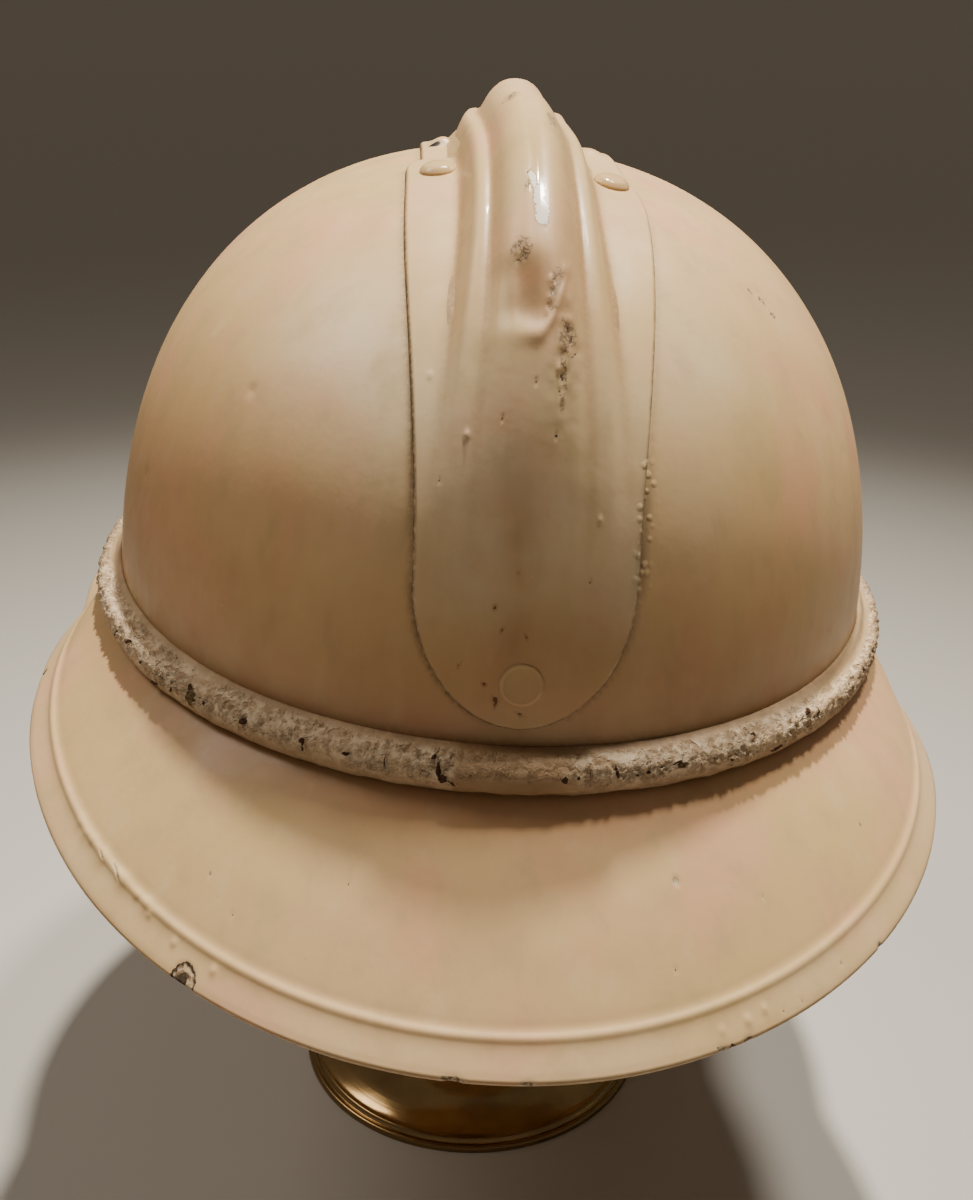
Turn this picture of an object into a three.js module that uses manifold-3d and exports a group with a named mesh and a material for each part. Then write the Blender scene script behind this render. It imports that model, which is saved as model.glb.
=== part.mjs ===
// Adrian helmet with a combed crown and a painted chin strap, on a turned brass stand.
// Millimetres, +Z up, the wearer facing +Y. The origin is the centre of the foot's flat underside.
// The helmet is drawn level in its own frame, whose origin is the middle of the crown's base,
// and leans a little to its right on the stand.
import * as THREE from "three";
import { mergeVertices } from "three/addons/utils/BufferGeometryUtils.js";
import Module from "manifold-3d";

const GAP = 0.3; // clearance between touching pieces
const SHEET = 1.2; // pressed steel with its coats of paint
const TURNS = 48; // steps round the crown, shared by all that lies against it

// Crown: an ellipse in plan and a superellipse in section, with a small out-turned flange
const CROWN_SIDE = 98;
const CROWN_FRONT = 107;
const CROWN_REAR = 113;
const CROWN_HEIGHT = 112.5;
const PLAN_POWER = 2.29;
const RISE_POWER = 2.32;
const CROWN_RINGS = 10;
const FLANGE = 3;

// Brims: overhang and drop of the outer edge, measured from the crown's base. The left side is
// pressed up a little and the right side down; a higher power keeps the edge near its side's
// height for longer before it falls towards the middle.
const LEFT_EDGE = { overhang: 13.2, drop: 17, dropPower: 1.5 };
const RIGHT_EDGE = { overhang: 11.8, drop: 24.4, dropPower: 2.2 };
const REAR_EDGE = { overhang: 43, drop: 42.8 };
const FRONT_EDGE = { overhang: 35, drop: 33 };
const OVERHANG_POWER = 0.83;
const SIDE_SOFTNESS = 0.12; // rounds the edge line where neck guard and visor meet
const BORDER_WIDTH = 8.6;
const BORDER_SLOPE = THREE.MathUtils.degToRad(60);
const APRON_BULGE = 1.2;
const BRIM_STEPS = 24;

// Comb: places along the crown's middle line are arc lengths from its rear base
const COMB_SHEET = 1;
const COMB_REAR_TIP = 12;
const COMB_FRONT_TIP = 45; // from the front base
const COMB_END_ROUND = 30;
const COMB_END_HALF = 23;
const COMB_TOP_HALF = 27.5;
const COMB_WIDENS = 95; // length over which the half width grows from end to top
const COMB_EAR_BEHIND = 16; // where the flange's ears end, behind the crown's top
const COMB_EAR_ROUND = 6;
const COMB_NECK_HALF = 24; // half width ahead of the ears
const CREST_START = 50; // where the crest begins to rise, and how long it takes
const CREST_RISE = 95;
const COMB_END_TURNS = [10, 25, 42, 62, 90].map(THREE.MathUtils.degToRad); // rows round each end
const COMB_EAR_TURNS = [45, 90].map(THREE.MathUtils.degToRad); // rows round the ears' corners
const COMB_STEP = 14.5; // longest step between rows
const COMB_FINE_STEP = 5.5; // step along the vent humps
// Half section at full height: share of the half width, height above the flange
const COMB_SECTION = [
  { out: 0, up: 14.7 },
  { out: 0.13, up: 13.8 },
  { out: 0.23, up: 11.5 },
  { out: 0.31, up: 8.3 },
  { out: 0.38, up: 7.5 },
  { out: 0.44, up: 6.2 },
  { out: 0.51, up: 2.4 },
  { out: 0.58, up: 0.2 },
  { out: 0.68, up: 0 },
  { out: 0.8, up: 0 },
  { out: 1, up: 0 },
];

// Vent humps on the comb's flange, one each side of the crest, open to the rear
const VENT_OUT = 0.68; // share of the half width
const VENT_AHEAD = 9; // middle, ahead of the crown's top
const VENT_HALF_LENGTH = 11;
const VENT_HALF_SHARE = 0.15;
const VENT_HEIGHT = 2.8;
const VENT_SLOT = { wide: 4.5, long: 9, high: 1.5 };

// Rivet heads
const DOME_RIVET = { radius: 4.2, height: 1.7 };
const FLAT_RIVET = { radius: 4.1, height: 0.8 };
const SIDE_RIVET_OUT = 0.73; // share of the comb's half width
const SIDE_RIVET_BEHIND = 29; // behind the crown's top
const RIVET_PROFILE = [
  { r: 0, z: 0 }, // shares of the head's radius and height
  { r: 1, z: 0 },
  { r: 1, z: 0.35 },
  { r: 0.8, z: 0.75 },
  { r: 0.45, z: 0.95 },
  { r: 0, z: 1 },
];
const RIVET_TURNS = 14;
const END_RIVET_INSET = 10; // from the comb's tip

// Chin strap: its closed section, as distance out from the crown and height above the flange
const STRAP_SECTION = [
  { out: 0.4, up: 0.3 },
  { out: 3.3, up: 0.3 },
  { out: 3.5, up: -1 },
  { out: 4.6, up: -1 },
  { out: 5.6, up: 0.5 },
  { out: 6.1, up: 2.6 },
  { out: 5.5, up: 5 },
  { out: 4.1, up: 6 },
  { out: 2.4, up: 5.3 },
  { out: 1.4, up: 6.8 },
  { out: 0.9, up: 8.2 },
  { out: 0.4, up: 8.2 },
];

// How the helmet sits on the stand
const LEAN = THREE.MathUtils.degToRad(3);
const HELMET_SEAT = { x: 3.5, y: 4.4, z: 156.8 };

// Stand: turned profiles, as radius and height above the table
const FOOT_PROFILE = [
  { r: 51.5, z: 0 },
  { r: 51.5, z: 1.2 },
  { r: 50.8, z: 2 },
  { r: 49.9, z: 1.7 },
  { r: 49.2, z: 3.2 },
  { r: 47.6, z: 3.8 },
  { r: 44.4, z: 3.9 },
  { r: 42, z: 6.4 },
  { r: 38, z: 11.4 },
  { r: 31, z: 16.8 },
  { r: 22, z: 20.8 },
  { r: 14.5, z: 25.5 },
  { r: 11.2, z: 32 },
  { r: 11.2, z: 36 },
];
const STEM_PROFILE = [
  { r: 12.4, z: 0 },
  { r: 12.4, z: 3.5 },
  { r: 8.6, z: 6.5 },
  { r: 7.6, z: 40 },
  { r: 7.6, z: 202.5 },
  { r: 10.6, z: 209.5 },
  { r: 10.6, z: 216.5 },
];
const CAP_PROFILE = [
  { r: 30, z: 0 },
  { r: 33.5, z: 1.8 },
  { r: 34.5, z: 4.6 },
  { r: 32.5, z: 7.6 },
  { r: 26, z: 10.7 },
  { r: 15, z: 13.2 },
];
const CAP_CROWN = 14;
const STAND_TURNS = 36;

const PAINT = new THREE.MeshStandardMaterial({ color: 0xcdb48f, roughness: 0.35, metalness: 0 });
const STRAP_PAINT = new THREE.MeshStandardMaterial({ color: 0xd8c3a0, roughness: 0.8, metalness: 0 });
const BRASS = new THREE.MeshStandardMaterial({ color: 0xb08d45, roughness: 0.28, metalness: 1 });

const wasm = await Module();
wasm.setup();

// A closed surface through rows of points, each row a closed ring with the same count.
// The two ends close on a pole each, or across the ring from each point to its partner;
// a joined surface runs from its last row back to its first.
function skin(rows, { poles = null, joined = false } = {}) {
  const count = rows[0].length;
  const points = rows.flat();
  const index = [];
  const last = rows.length - 1;
  for (let i = 0; i < (joined ? rows.length : last); i++) {
    const here = i * count;
    const next = ((i + 1) % rows.length) * count;
    for (let j = 0; j < count; j++) {
      const k = (j + 1) % count;
      index.push(here + j, here + k, next + j, here + k, next + k, next + j);
    }
  }
  if (poles) {
    const [first, end] = [points.length, points.length + 1];
    points.push(...poles);
    for (let j = 0; j < count; j++) {
      const k = (j + 1) % count;
      index.push(first, k, j, end, last * count + j, last * count + k);
    }
  } else if (!joined) {
    const end = last * count;
    for (let j = 0; j < count / 2 - 1; j++) {
      const across = count - 1 - j;
      index.push(j, across, j + 1, j + 1, across, across - 1);
      index.push(end + j, end + j + 1, end + across, end + j + 1, end + across - 1, end + across);
    }
  }
  const geometry = new THREE.BufferGeometry().setFromPoints(points);
  geometry.setIndex(index);
  if (volumeOf(geometry) < 0) geometry.index.array.reverse();
  return geometry;
}

function volumeOf(geometry) {
  const at = geometry.attributes.position;
  const [a, b, c] = [new THREE.Vector3(), new THREE.Vector3(), new THREE.Vector3()];
  let sum = 0;
  for (let i = 0; i < geometry.index.count; i += 3) {
    a.fromBufferAttribute(at, geometry.index.getX(i));
    b.fromBufferAttribute(at, geometry.index.getX(i + 1));
    c.fromBufferAttribute(at, geometry.index.getX(i + 2));
    sum += a.dot(b.cross(c)) / 6;
  }
  return sum;
}

// An open line of points in a plane, doubled back on its underside a sheet's thickness away
function sheetRing(line, thickness) {
  const under = line.map((p, i) => {
    const before = line[Math.max(i - 1, 0)];
    const after = line[Math.min(i + 1, line.length - 1)];
    const along = after.clone().sub(before).normalize();
    return new THREE.Vector2(p.x + along.y * thickness, p.y - along.x * thickness);
  });
  return [...line, ...under.reverse()];
}

// A point round the crown's base: outset from it, on an ellipse cut down to a share of its size
function planPoint(angle, outset, height, share = 1) {
  const length = Math.sin(angle) > 0 ? CROWN_FRONT : CROWN_REAR;
  const normal = new THREE.Vector2(Math.cos(angle) / CROWN_SIDE, Math.sin(angle) / length).normalize();
  return new THREE.Vector3(
    share * CROWN_SIDE * Math.cos(angle) + outset * normal.x,
    share * length * Math.sin(angle) + outset * normal.y,
    height,
  );
}

// One level ring of the crown, a sheet's thickness further in for its inside
function crownRing(climb, inset) {
  const share = Math.cos(climb) ** (2 / PLAN_POWER);
  const height = (CROWN_HEIGHT - inset) * Math.sin(climb) ** (2 / RISE_POWER);
  return ringOf((angle) => planPoint(angle, -inset * share, height, share));
}

function ringOf(place) {
  return Array.from({ length: TURNS }, (_, i) => place((i / TURNS) * 2 * Math.PI));
}

function crown() {
  const climbs = Array.from({ length: CROWN_RINGS }, (_, i) => (i / CROWN_RINGS) * (Math.PI / 2));
  const outside = climbs.map((climb) => crownRing(climb, 0)).reverse();
  const inside = climbs.slice(1).map((climb) => crownRing(climb, SHEET));
  const flange = [
    ringOf((angle) => planPoint(angle, FLANGE, 0)),
    ringOf((angle) => planPoint(angle, FLANGE, -SHEET)),
    ringOf((angle) => planPoint(angle, -SHEET, -SHEET)),
  ];
  const poles = [CROWN_HEIGHT, CROWN_HEIGHT - SHEET].map((z) => new THREE.Vector3(0, 0, z));
  return skin([...outside, ...flange, ...inside], { poles });
}

// A brim from one side of the helmet round to the other, widest in its middle
function brim(start, middle) {
  const clear = GAP / 2 / CROWN_REAR; // half the gap between neck guard and visor, as an angle
  const rows = [];
  for (let i = 0; i <= BRIM_STEPS; i++) {
    const angle = start + THREE.MathUtils.lerp(clear, Math.PI - clear, i / BRIM_STEPS);
    const { overhang, drop } = brimEdge(angle, middle);
    rows.push(sheetRing(brimLine(overhang, drop), SHEET).map((p) => planPoint(angle, p.x, p.y)));
  }
  return skin(rows);
}

function brimEdge(angle, middle) {
  const soften = (s) => Math.hypot(s, SIDE_SOFTNESS) - SIDE_SOFTNESS;
  const side = Math.cos(angle) > 0 ? RIGHT_EDGE : LEFT_EDGE;
  const toMiddle = soften(Math.abs(Math.sin(angle))) / soften(1);
  return {
    overhang: THREE.MathUtils.lerp(side.overhang, middle.overhang, toMiddle ** OVERHANG_POWER),
    drop: THREE.MathUtils.lerp(side.drop, middle.drop, toMiddle ** side.dropPower),
  };
}

// Upper line of a brim's section: under the flange, down the apron, then down the steeper border
function brimLine(overhang, drop) {
  const top = -SHEET - GAP;
  const root = new THREE.Vector2(FLANGE + GAP, top);
  const edge = new THREE.Vector2(overhang, -drop);
  const fold = new THREE.Vector2(
    overhang - BORDER_WIDTH * Math.cos(BORDER_SLOPE),
    BORDER_WIDTH * Math.sin(BORDER_SLOPE) - drop,
  );
  const line = [new THREE.Vector2(GAP, top), root];
  for (const share of [0.25, 0.5, 0.75]) {
    const p = root.clone().lerp(fold, share);
    p.y += APRON_BULGE * Math.sin(share * Math.PI);
    line.push(p);
  }
  return [...line, fold, fold.clone().lerp(edge, 0.5), edge];
}

// The crown's middle line from rear base over the top to front base, as y and height
const midline = new THREE.SplineCurve(
  Array.from({ length: 73 }, (_, i) => {
    const climb = (i / 72) * Math.PI;
    const along = Math.abs(Math.cos(climb)) ** (2 / PLAN_POWER);
    const y = climb > Math.PI / 2 ? CROWN_FRONT * along : -CROWN_REAR * along;
    return new THREE.Vector2(y, CROWN_HEIGHT * Math.sin(climb) ** (2 / RISE_POWER));
  }),
);
midline.arcLengthDivisions = 600;
const MIDLINE_LENGTH = midline.getLength();
const TOP_ARC = MIDLINE_LENGTH * topShare();

// Share of the middle line's length at which it passes the crown's top
function topShare() {
  let [low, high] = [0.3, 0.7];
  for (let i = 0; i < 40; i++) {
    const middle = (low + high) / 2;
    if (midline.getPointAt(middle).x < 0) low = middle;
    else high = middle;
  }
  return (low + high) / 2;
}

// Height above the crown at a distance out from the middle line, turned into a point
function overCrown(arc, out, height) {
  const base = midline.getPointAt(arc / MIDLINE_LENGTH);
  const along = midline.getTangentAt(arc / MIDLINE_LENGTH);
  const normal = new THREE.Vector2(-along.y, along.x);
  const length = base.x > 0 ? CROWN_FRONT : CROWN_REAR;
  const outside = (drop) => {
    const y = base.x - drop * normal.x;
    const z = base.y - drop * normal.y;
    const round = Math.hypot(out / CROWN_SIDE, y / length) ** PLAN_POWER;
    return round + Math.abs(z / CROWN_HEIGHT) ** RISE_POWER > 1;
  };
  let [low, high] = [0, CROWN_SIDE];
  for (let i = 0; i < 40; i++) {
    const middle = (low + high) / 2;
    if (outside(middle)) low = middle;
    else high = middle;
  }
  const rise = height - low;
  return new THREE.Vector3(out, base.x + rise * normal.x, base.y + rise * normal.y);
}

// How far a place on the comb is from its nearer base, as if both ends were the rear one
function fromEnd(arc) {
  const shift = COMB_FRONT_TIP - COMB_REAR_TIP;
  return arc < TOP_ARC ? arc : MIDLINE_LENGTH - arc - shift * ((arc - TOP_ARC) / (MIDLINE_LENGTH - TOP_ARC));
}

function combHalfWidth(arc) {
  const end = arc < TOP_ARC ? arc - COMB_REAR_TIP : MIDLINE_LENGTH - COMB_FRONT_TIP - arc;
  const straight = end - COMB_END_ROUND;
  if (straight > 0) {
    const wide = THREE.MathUtils.smoothstep(straight, 0, COMB_WIDENS);
    return THREE.MathUtils.lerp(COMB_END_HALF, COMB_TOP_HALF, wide);
  }
  return COMB_END_HALF * Math.sqrt(Math.max(0, 1 - (straight / COMB_END_ROUND) ** 2));
}

// Rise of a vent hump: steep at its rear, easing down to the front
function ventRise(share, arc) {
  const across = (Math.abs(share) - VENT_OUT) / VENT_HALF_SHARE;
  const along = (arc - TOP_ARC - VENT_AHEAD) / VENT_HALF_LENGTH;
  if (Math.abs(across) >= 1 || Math.abs(along) >= 1) return 0;
  return VENT_HEIGHT * Math.cos((across * Math.PI) / 2) * Math.cos((along * Math.PI) / 2) ** 0.6;
}

// Half width of the comb's outline: full as far as the ears beside the side rivets, narrower ahead
function combEdge(arc) {
  const full = combHalfWidth(arc);
  const round = THREE.MathUtils.clamp((arc - TOP_ARC + COMB_EAR_BEHIND) / COMB_EAR_ROUND + 1, 0, 1);
  return THREE.MathUtils.lerp(Math.min(full, COMB_NECK_HALF), full, Math.sqrt(1 - round ** 2));
}

function combRow(arc) {
  const half = combHalfWidth(arc);
  const edge = combEdge(arc);
  const crest = THREE.MathUtils.smoothstep(fromEnd(arc), CREST_START, CREST_START + CREST_RISE);
  const right = COMB_SECTION.map(({ out, up }) => ({ share: out, up: up * crest + ventRise(out, arc) }));
  const left = right.slice(1).map(({ share, up }) => ({ share: -share, up }));
  const line = [...left.reverse(), ...right].map(
    ({ share, up }) =>
      new THREE.Vector2(THREE.MathUtils.clamp(share * half, -edge, edge), GAP + COMB_SHEET + up),
  );
  return sheetRing(line, COMB_SHEET).map((p, i) =>
    overCrown(arc, p.x, i < line.length ? p.y : Math.max(p.y, GAP)),
  );
}

function comb() {
  let body = solidOf(skin(combStations().map(combRow)));
  for (const side of [-1, 1]) body = body.subtract(solidOf(ventSlot(side)));
  return geometryOf(body);
}

// Where the comb's rows lie along the middle line: close together round the ends and at the vents
function combStations() {
  const rearRound = COMB_END_TURNS.map((turn) => COMB_REAR_TIP + COMB_END_ROUND * (1 - Math.cos(turn)));
  const frontTip = MIDLINE_LENGTH - COMB_FRONT_TIP;
  const frontRound = COMB_END_TURNS.map((turn) => frontTip - COMB_END_ROUND * (1 - Math.cos(turn)));
  const ear = TOP_ARC - COMB_EAR_BEHIND;
  const vent = TOP_ARC + VENT_AHEAD;
  return [
    ...rearRound,
    ...steps(rearRound.at(-1), ear - COMB_EAR_ROUND, COMB_STEP),
    ...COMB_EAR_TURNS.map((turn) => ear - COMB_EAR_ROUND * (1 - Math.sin(turn))),
    ...steps(ear, vent - VENT_HALF_LENGTH, COMB_STEP),
    ...steps(vent - VENT_HALF_LENGTH, vent + VENT_HALF_LENGTH, COMB_FINE_STEP),
    ...steps(vent + VENT_HALF_LENGTH, frontRound.at(-1), COMB_STEP).slice(0, -1),
    ...frontRound.reverse(),
  ];
}

// Even steps between two places, no longer than the given one, without the first place
function steps(from, to, longest) {
  const count = Math.ceil((to - from) / longest);
  return Array.from({ length: count }, (_, i) => THREE.MathUtils.lerp(from, to, (i + 1) / count));
}

// The hole in the rear of a vent hump
function ventSlot(side) {
  const arc = TOP_ARC + VENT_AHEAD - VENT_HALF_LENGTH;
  const height = GAP + COMB_SHEET + VENT_SLOT.high / 2;
  const slot = new THREE.BoxGeometry(VENT_SLOT.wide, VENT_SLOT.long, VENT_SLOT.high);
  const place = overCrown(arc, side * VENT_OUT * combHalfWidth(arc), height);
  return slot.translate(place.x, place.y, place.z);
}

function solidOf(geometry) {
  const bare = geometry.clone();
  bare.deleteAttribute("normal");
  bare.deleteAttribute("uv");
  const merged = mergeVertices(bare);
  return new wasm.Manifold(
    new wasm.Mesh({
      numProp: 3,
      vertProperties: merged.attributes.position.array,
      triVerts: new Uint32Array(merged.index.array),
    }),
  );
}

function geometryOf(solid) {
  const { vertProperties, triVerts } = solid.getMesh();
  const geometry = new THREE.BufferGeometry();
  geometry.setAttribute("position", new THREE.BufferAttribute(vertProperties, 3));
  return geometry.setIndex(new THREE.BufferAttribute(triVerts, 1));
}

// A rivet head standing on the comb's flange
function rivet(name, { radius, height }, arc, out) {
  const points = RIVET_PROFILE.map(({ r, z }) => new THREE.Vector2(r * radius, z * height));
  const head = mesh(name, new THREE.LatheGeometry(points, RIVET_TURNS), PAINT);
  const foot = overCrown(arc, out, 2 * GAP + COMB_SHEET);
  const ahead = overCrown(arc + radius, out, 0).sub(overCrown(arc - radius, out, 0));
  const across = overCrown(arc, out + radius, 0).sub(overCrown(arc, out - radius, 0));
  head.position.copy(foot);
  head.quaternion.setFromUnitVectors(new THREE.Vector3(0, 1, 0), across.cross(ahead).normalize());
  return head;
}

function rivets() {
  const sideArc = TOP_ARC - SIDE_RIVET_BEHIND;
  const sideOut = SIDE_RIVET_OUT * combHalfWidth(sideArc);
  const frontArc = MIDLINE_LENGTH - COMB_FRONT_TIP - END_RIVET_INSET;
  return [
    rivet("comb_rivet_rear", FLAT_RIVET, COMB_REAR_TIP + END_RIVET_INSET, 0),
    rivet("comb_rivet_front", FLAT_RIVET, frontArc, 0),
    rivet("comb_rivet_left", DOME_RIVET, sideArc, -sideOut),
    rivet("comb_rivet_right", DOME_RIVET, sideArc, sideOut),
  ];
}

function chinStrap() {
  const rows = ringOf((angle) => STRAP_SECTION.map(({ out, up }) => planPoint(angle, out, up)));
  return skin(rows, { joined: true });
}

// A turned piece from its profile, which runs from the underside's rim to the top's
function turned(profile, base, crownHeight = profile.at(-1).z) {
  const points = [
    new THREE.Vector2(0, profile[0].z),
    ...profile.map(({ r, z }) => new THREE.Vector2(r, z)),
    new THREE.Vector2(0, crownHeight),
  ];
  return new THREE.LatheGeometry(points, STAND_TURNS).rotateX(Math.PI / 2).translate(0, 0, base);
}

function mesh(name, geometry, material) {
  const piece = new THREE.Mesh(geometry, material);
  piece.name = name;
  return piece;
}

function helmet() {
  const group = new THREE.Group();
  group.add(
    mesh("crown", crown(), PAINT),
    mesh("neck_guard", brim(Math.PI, REAR_EDGE), PAINT),
    mesh("visor", brim(0, FRONT_EDGE), PAINT),
    mesh("comb", comb(), PAINT),
    ...rivets(),
    mesh("chin_strap", chinStrap(), STRAP_PAINT),
  );
  group.rotation.y = LEAN;
  group.position.copy(HELMET_SEAT);
  return group;
}

function stand() {
  const stemBase = FOOT_PROFILE.at(-1).z + GAP;
  const capBase = stemBase + STEM_PROFILE.at(-1).z + GAP;
  const group = new THREE.Group();
  group.add(
    mesh("stand_foot", turned(FOOT_PROFILE, 0), BRASS),
    mesh("stand_stem", turned(STEM_PROFILE, stemBase), BRASS),
    mesh("stand_cap", turned(CAP_PROFILE, capBase, CAP_CROWN), BRASS),
  );
  return group;
}

const helmetOnStand = new THREE.Group();
helmetOnStand.add(helmet(), stand());
export default helmetOnStand;
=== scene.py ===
"""The looks of an adrian helmet on its brass stand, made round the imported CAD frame.

The helmet's pieces are drawn level in the helmet's own frame, in millimetres, with its origin in the
middle of the crown's base and the wearer facing +Y. They are then leaned and seated as in the frame.
Paint damage is listed by place: an angle round the helmet, or an arc along the crown's middle line."""

from functools import partialmethod
from math import cos, pi, radians, sin, sqrt

import bpy
import numpy as np
from mathutils import Matrix, Vector, noise


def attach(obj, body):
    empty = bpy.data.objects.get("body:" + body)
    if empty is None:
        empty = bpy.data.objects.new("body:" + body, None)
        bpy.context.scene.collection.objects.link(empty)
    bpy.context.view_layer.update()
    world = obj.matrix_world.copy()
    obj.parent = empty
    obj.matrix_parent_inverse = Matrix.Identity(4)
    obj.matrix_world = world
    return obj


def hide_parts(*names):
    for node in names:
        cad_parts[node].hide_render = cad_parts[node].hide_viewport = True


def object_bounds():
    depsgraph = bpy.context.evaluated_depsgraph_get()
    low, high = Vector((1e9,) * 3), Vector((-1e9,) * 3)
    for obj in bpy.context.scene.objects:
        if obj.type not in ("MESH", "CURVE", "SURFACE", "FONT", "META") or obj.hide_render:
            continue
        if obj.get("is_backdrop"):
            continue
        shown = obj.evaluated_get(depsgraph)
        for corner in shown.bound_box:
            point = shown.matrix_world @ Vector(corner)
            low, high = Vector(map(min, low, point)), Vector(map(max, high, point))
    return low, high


MM = 0.001  # the meshes' millimetres in Blender's metres

# Camera: where it stands, the point on the stand's axis plane that it looks at, and its roll
CAMERA_PLACE = (-16.5, -378.6, 317.5)
CAMERA_AIM = (2.9, 0.0, 149.7)
CAMERA_ROLL = radians(0.75)
CAMERA_LENS = 45.0
CAMERA_NEAR = 0.01
SENSOR = 36.0

# Soft lights aimed at the helmet: degrees round it from ahead of the wearer towards +X, degrees up,
# distance and size in metres, watts, colour, and the beam's width in degrees
WARM = (1.0, 0.925, 0.805)
LIGHTS = {"key": (18, 70, 2.4, 0.15, 3.5, WARM, 32), "side": (56, 69, 2.4, 0.32, 1.8, WARM, 32),
          "left": (-76, 54, 2.0, 0.9, 1.7, (1.0, 0.91, 0.78), 60)}
SKY = (0.172, 0.143, 0.112, 1)
FLOOR_HALF = 15.0  # of its side, in metres
FLOOR_LOOK = {"Base Color": (0.4, 0.385, 0.36, 1), "Roughness": 0.7}

# Colours of the helmet's paint and of what is on it or shows through it, some of which stand in for painted
# shade, sheen and highlight
PAINT = {
    "base": (0.65, 0.43, 0.215), "yellowed": (0.59, 0.4, 0.175), "rosy": (0.66, 0.385, 0.205),
    "flush_and_painted_light": (0.6, 0.31, 0.17), "clean_and_lit": (0.68, 0.56, 0.385), "smear": (0.4, 0.27, 0.14),
    "drip": (0.44, 0.33, 0.17), "pale drip": (0.68, 0.53, 0.33), "brown": (0.27, 0.155, 0.066),
    "red brown": (0.31, 0.13, 0.052), "speck": (0.25, 0.14, 0.07), "grime_and_shade": (0.06, 0.038, 0.02),
    "rust": (0.075, 0.022, 0.008), "halo": (0.3, 0.12, 0.04), "crazed": (0.27, 0.185, 0.105),
    "crack": (0.115, 0.07, 0.04), "torn": (0.12, 0.075, 0.04), "flake_and_highlight": (0.93, 0.87, 0.76),
    "bubble": (0.62, 0.5, 0.33), "pit": (0.09, 0.06, 0.035), "vent_hole_shade": (0.004, 0.003, 0.002),
    "dark": (0.045, 0.027, 0.015), "bare": (0.2, 0.125, 0.066), "pale": (0.52, 0.4, 0.25),
    "rim": (0.8, 0.66, 0.47)}
PAINT_GLOSS = {"Specular IOR Level": 0.38, "Coat Weight": 0.07, "Coat Roughness": 0.07, "Coat IOR": 1.45}
# Colours of the strap's paint, old and fresh, and of the leather under it; the grime and aged colours also
# serve as painted shade
STRAP = {
    "base": (0.38, 0.25, 0.125), "hollow": (0.21, 0.118, 0.056), "ridge": (0.71, 0.52, 0.32),
    "fresh": (0.62, 0.44, 0.27), "fresh hollow": (0.4, 0.255, 0.145),
    "fresh ridge": (0.88, 0.71, 0.5), "stain": (0.33, 0.23, 0.12), "aged_and_shaded": (0.27, 0.14, 0.06),
    "grime_and_shade": (0.085, 0.042, 0.019), "dark": (0.07, 0.024, 0.011), "bare": (0.1, 0.05, 0.02),
    "pale": (0.2, 0.14, 0.055), "rim": PAINT["rim"]}
BRASS = {"base": (0.42, 0.28, 0.125), "dull": (0.14, 0.089, 0.043), "green": (0.2, 0.18, 0.07)}

# Helmet: the crown is an ellipse in plan and a superellipse in section
LEAN = radians(3)
HELMET_SEAT = (3.5, 4.4, 156.8)
GAP = 0.3
SHEET = 1.2
CROWN_SIDE = 98.0
CROWN_FRONT = 107.0
CROWN_REAR = 113.0
CROWN_HEIGHT = 112.5
PLAN_POWER = 2.29
RISE_POWER = 2.32
FLANGE = 3.0
# The rolled rim of the flange, as distance out and height
CROWN_RIM = [(0.6, 0), (FLANGE - 0.4, 0), (FLANGE, -0.4),
             (FLANGE, -SHEET + 0.4), (FLANGE - 0.4, -SHEET), (-SHEET, -SHEET)]

# Brims: overhang and drop of the outer edge from the crown's base, and at the sides the drop's power
LEFT_EDGE = (13.2, 17.0, 1.5)
RIGHT_EDGE = (11.8, 24.4, 2.2)
REAR_EDGE = (43.0, 42.8)
FRONT_EDGE = (35.0, 33.0)
OVERHANG_POWER = 0.83
SIDE_SOFTNESS = 0.12
BORDER_WIDTH = 8.6
BORDER_SLOPE = radians(49)
APRON_BULGE = 0.9
APRON_FULL = 14.0  # width of apron that carries the ridge at its full height
APRON_STEPS = (0.15, 0.3, 0.45, 0.6, 0.7)
# Section of the pressed ridge and border, as distance past the fold and height above its faces
RIDGE = [(-4.0, 0.0), (-2.3, -0.08), (-1.3, 0.05), (-0.6, 0.36), (0.0, 0.52)]
BORDER = [(0.6, 0.4), (1.3, 0.16), (2.8, 0.06), (5.2, 0.16), (7.2, 0.25), (8.1, 0.12)]
ROLLED_EDGE = [(0.15, 0.3), (-0.2, -0.55), (-1.0, -0.5)]  # from the edge: distance out and height

# Comb: arcs run along the crown's middle line from its rear base
COMB_SHEET = 1.0
COMB_REAR_TIP = 12.0
COMB_FRONT_TIP = 45.0  # from the front base
COMB_END_ROUND = 30.0
COMB_END_HALF = 23.0
COMB_TOP_HALF = 27.5
COMB_WIDENS = 95.0
COMB_LEFT_EAR = (-22.0, 6.0)  # start and length of its taper, ahead of the crown's top
COMB_RIGHT_EAR = (-42.0, 28.0)
COMB_NECK_HALF = 24.0
COMB_EDGE_ROUND = 0.8
COMB_CROWDING = 0.14  # how much closer the mesh's points are towards the comb's edges
CREST_START = 42.0
CREST_WIDENS = 0.35  # share by which the crest is wider where it dies out
CREST_RISE = 95.0
CREST_SHIFT = -1.4  # sideways lean of the crest at the crown's top
CREST_SHIFTS = (150, 180)
# Half section of the crest at full height: distance from its middle, height above the flange
CREST = [(0, 14.9), (3.2, 14.5), (6.2, 12.2), (8.2, 8.4), (9.2, 7.3), (10.4, 7.6),
         (12.4, 7.0), (13.9, 3.2), (15.2, 0.2), (16.8, 0.0), (20.0, 0.0), (30.0, 0.0)]

VENT_OUT = 0.68  # share of the half width
VENT_AHEAD = 9.0
VENT_HALF_LENGTH = 11.0
VENT_HALF_SHARE = 0.15
VENT_LIP = 2.8
VENT_LEFT_HEIGHT = 1.568
VENT_RIGHT_HEIGHT = 0.84

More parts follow.
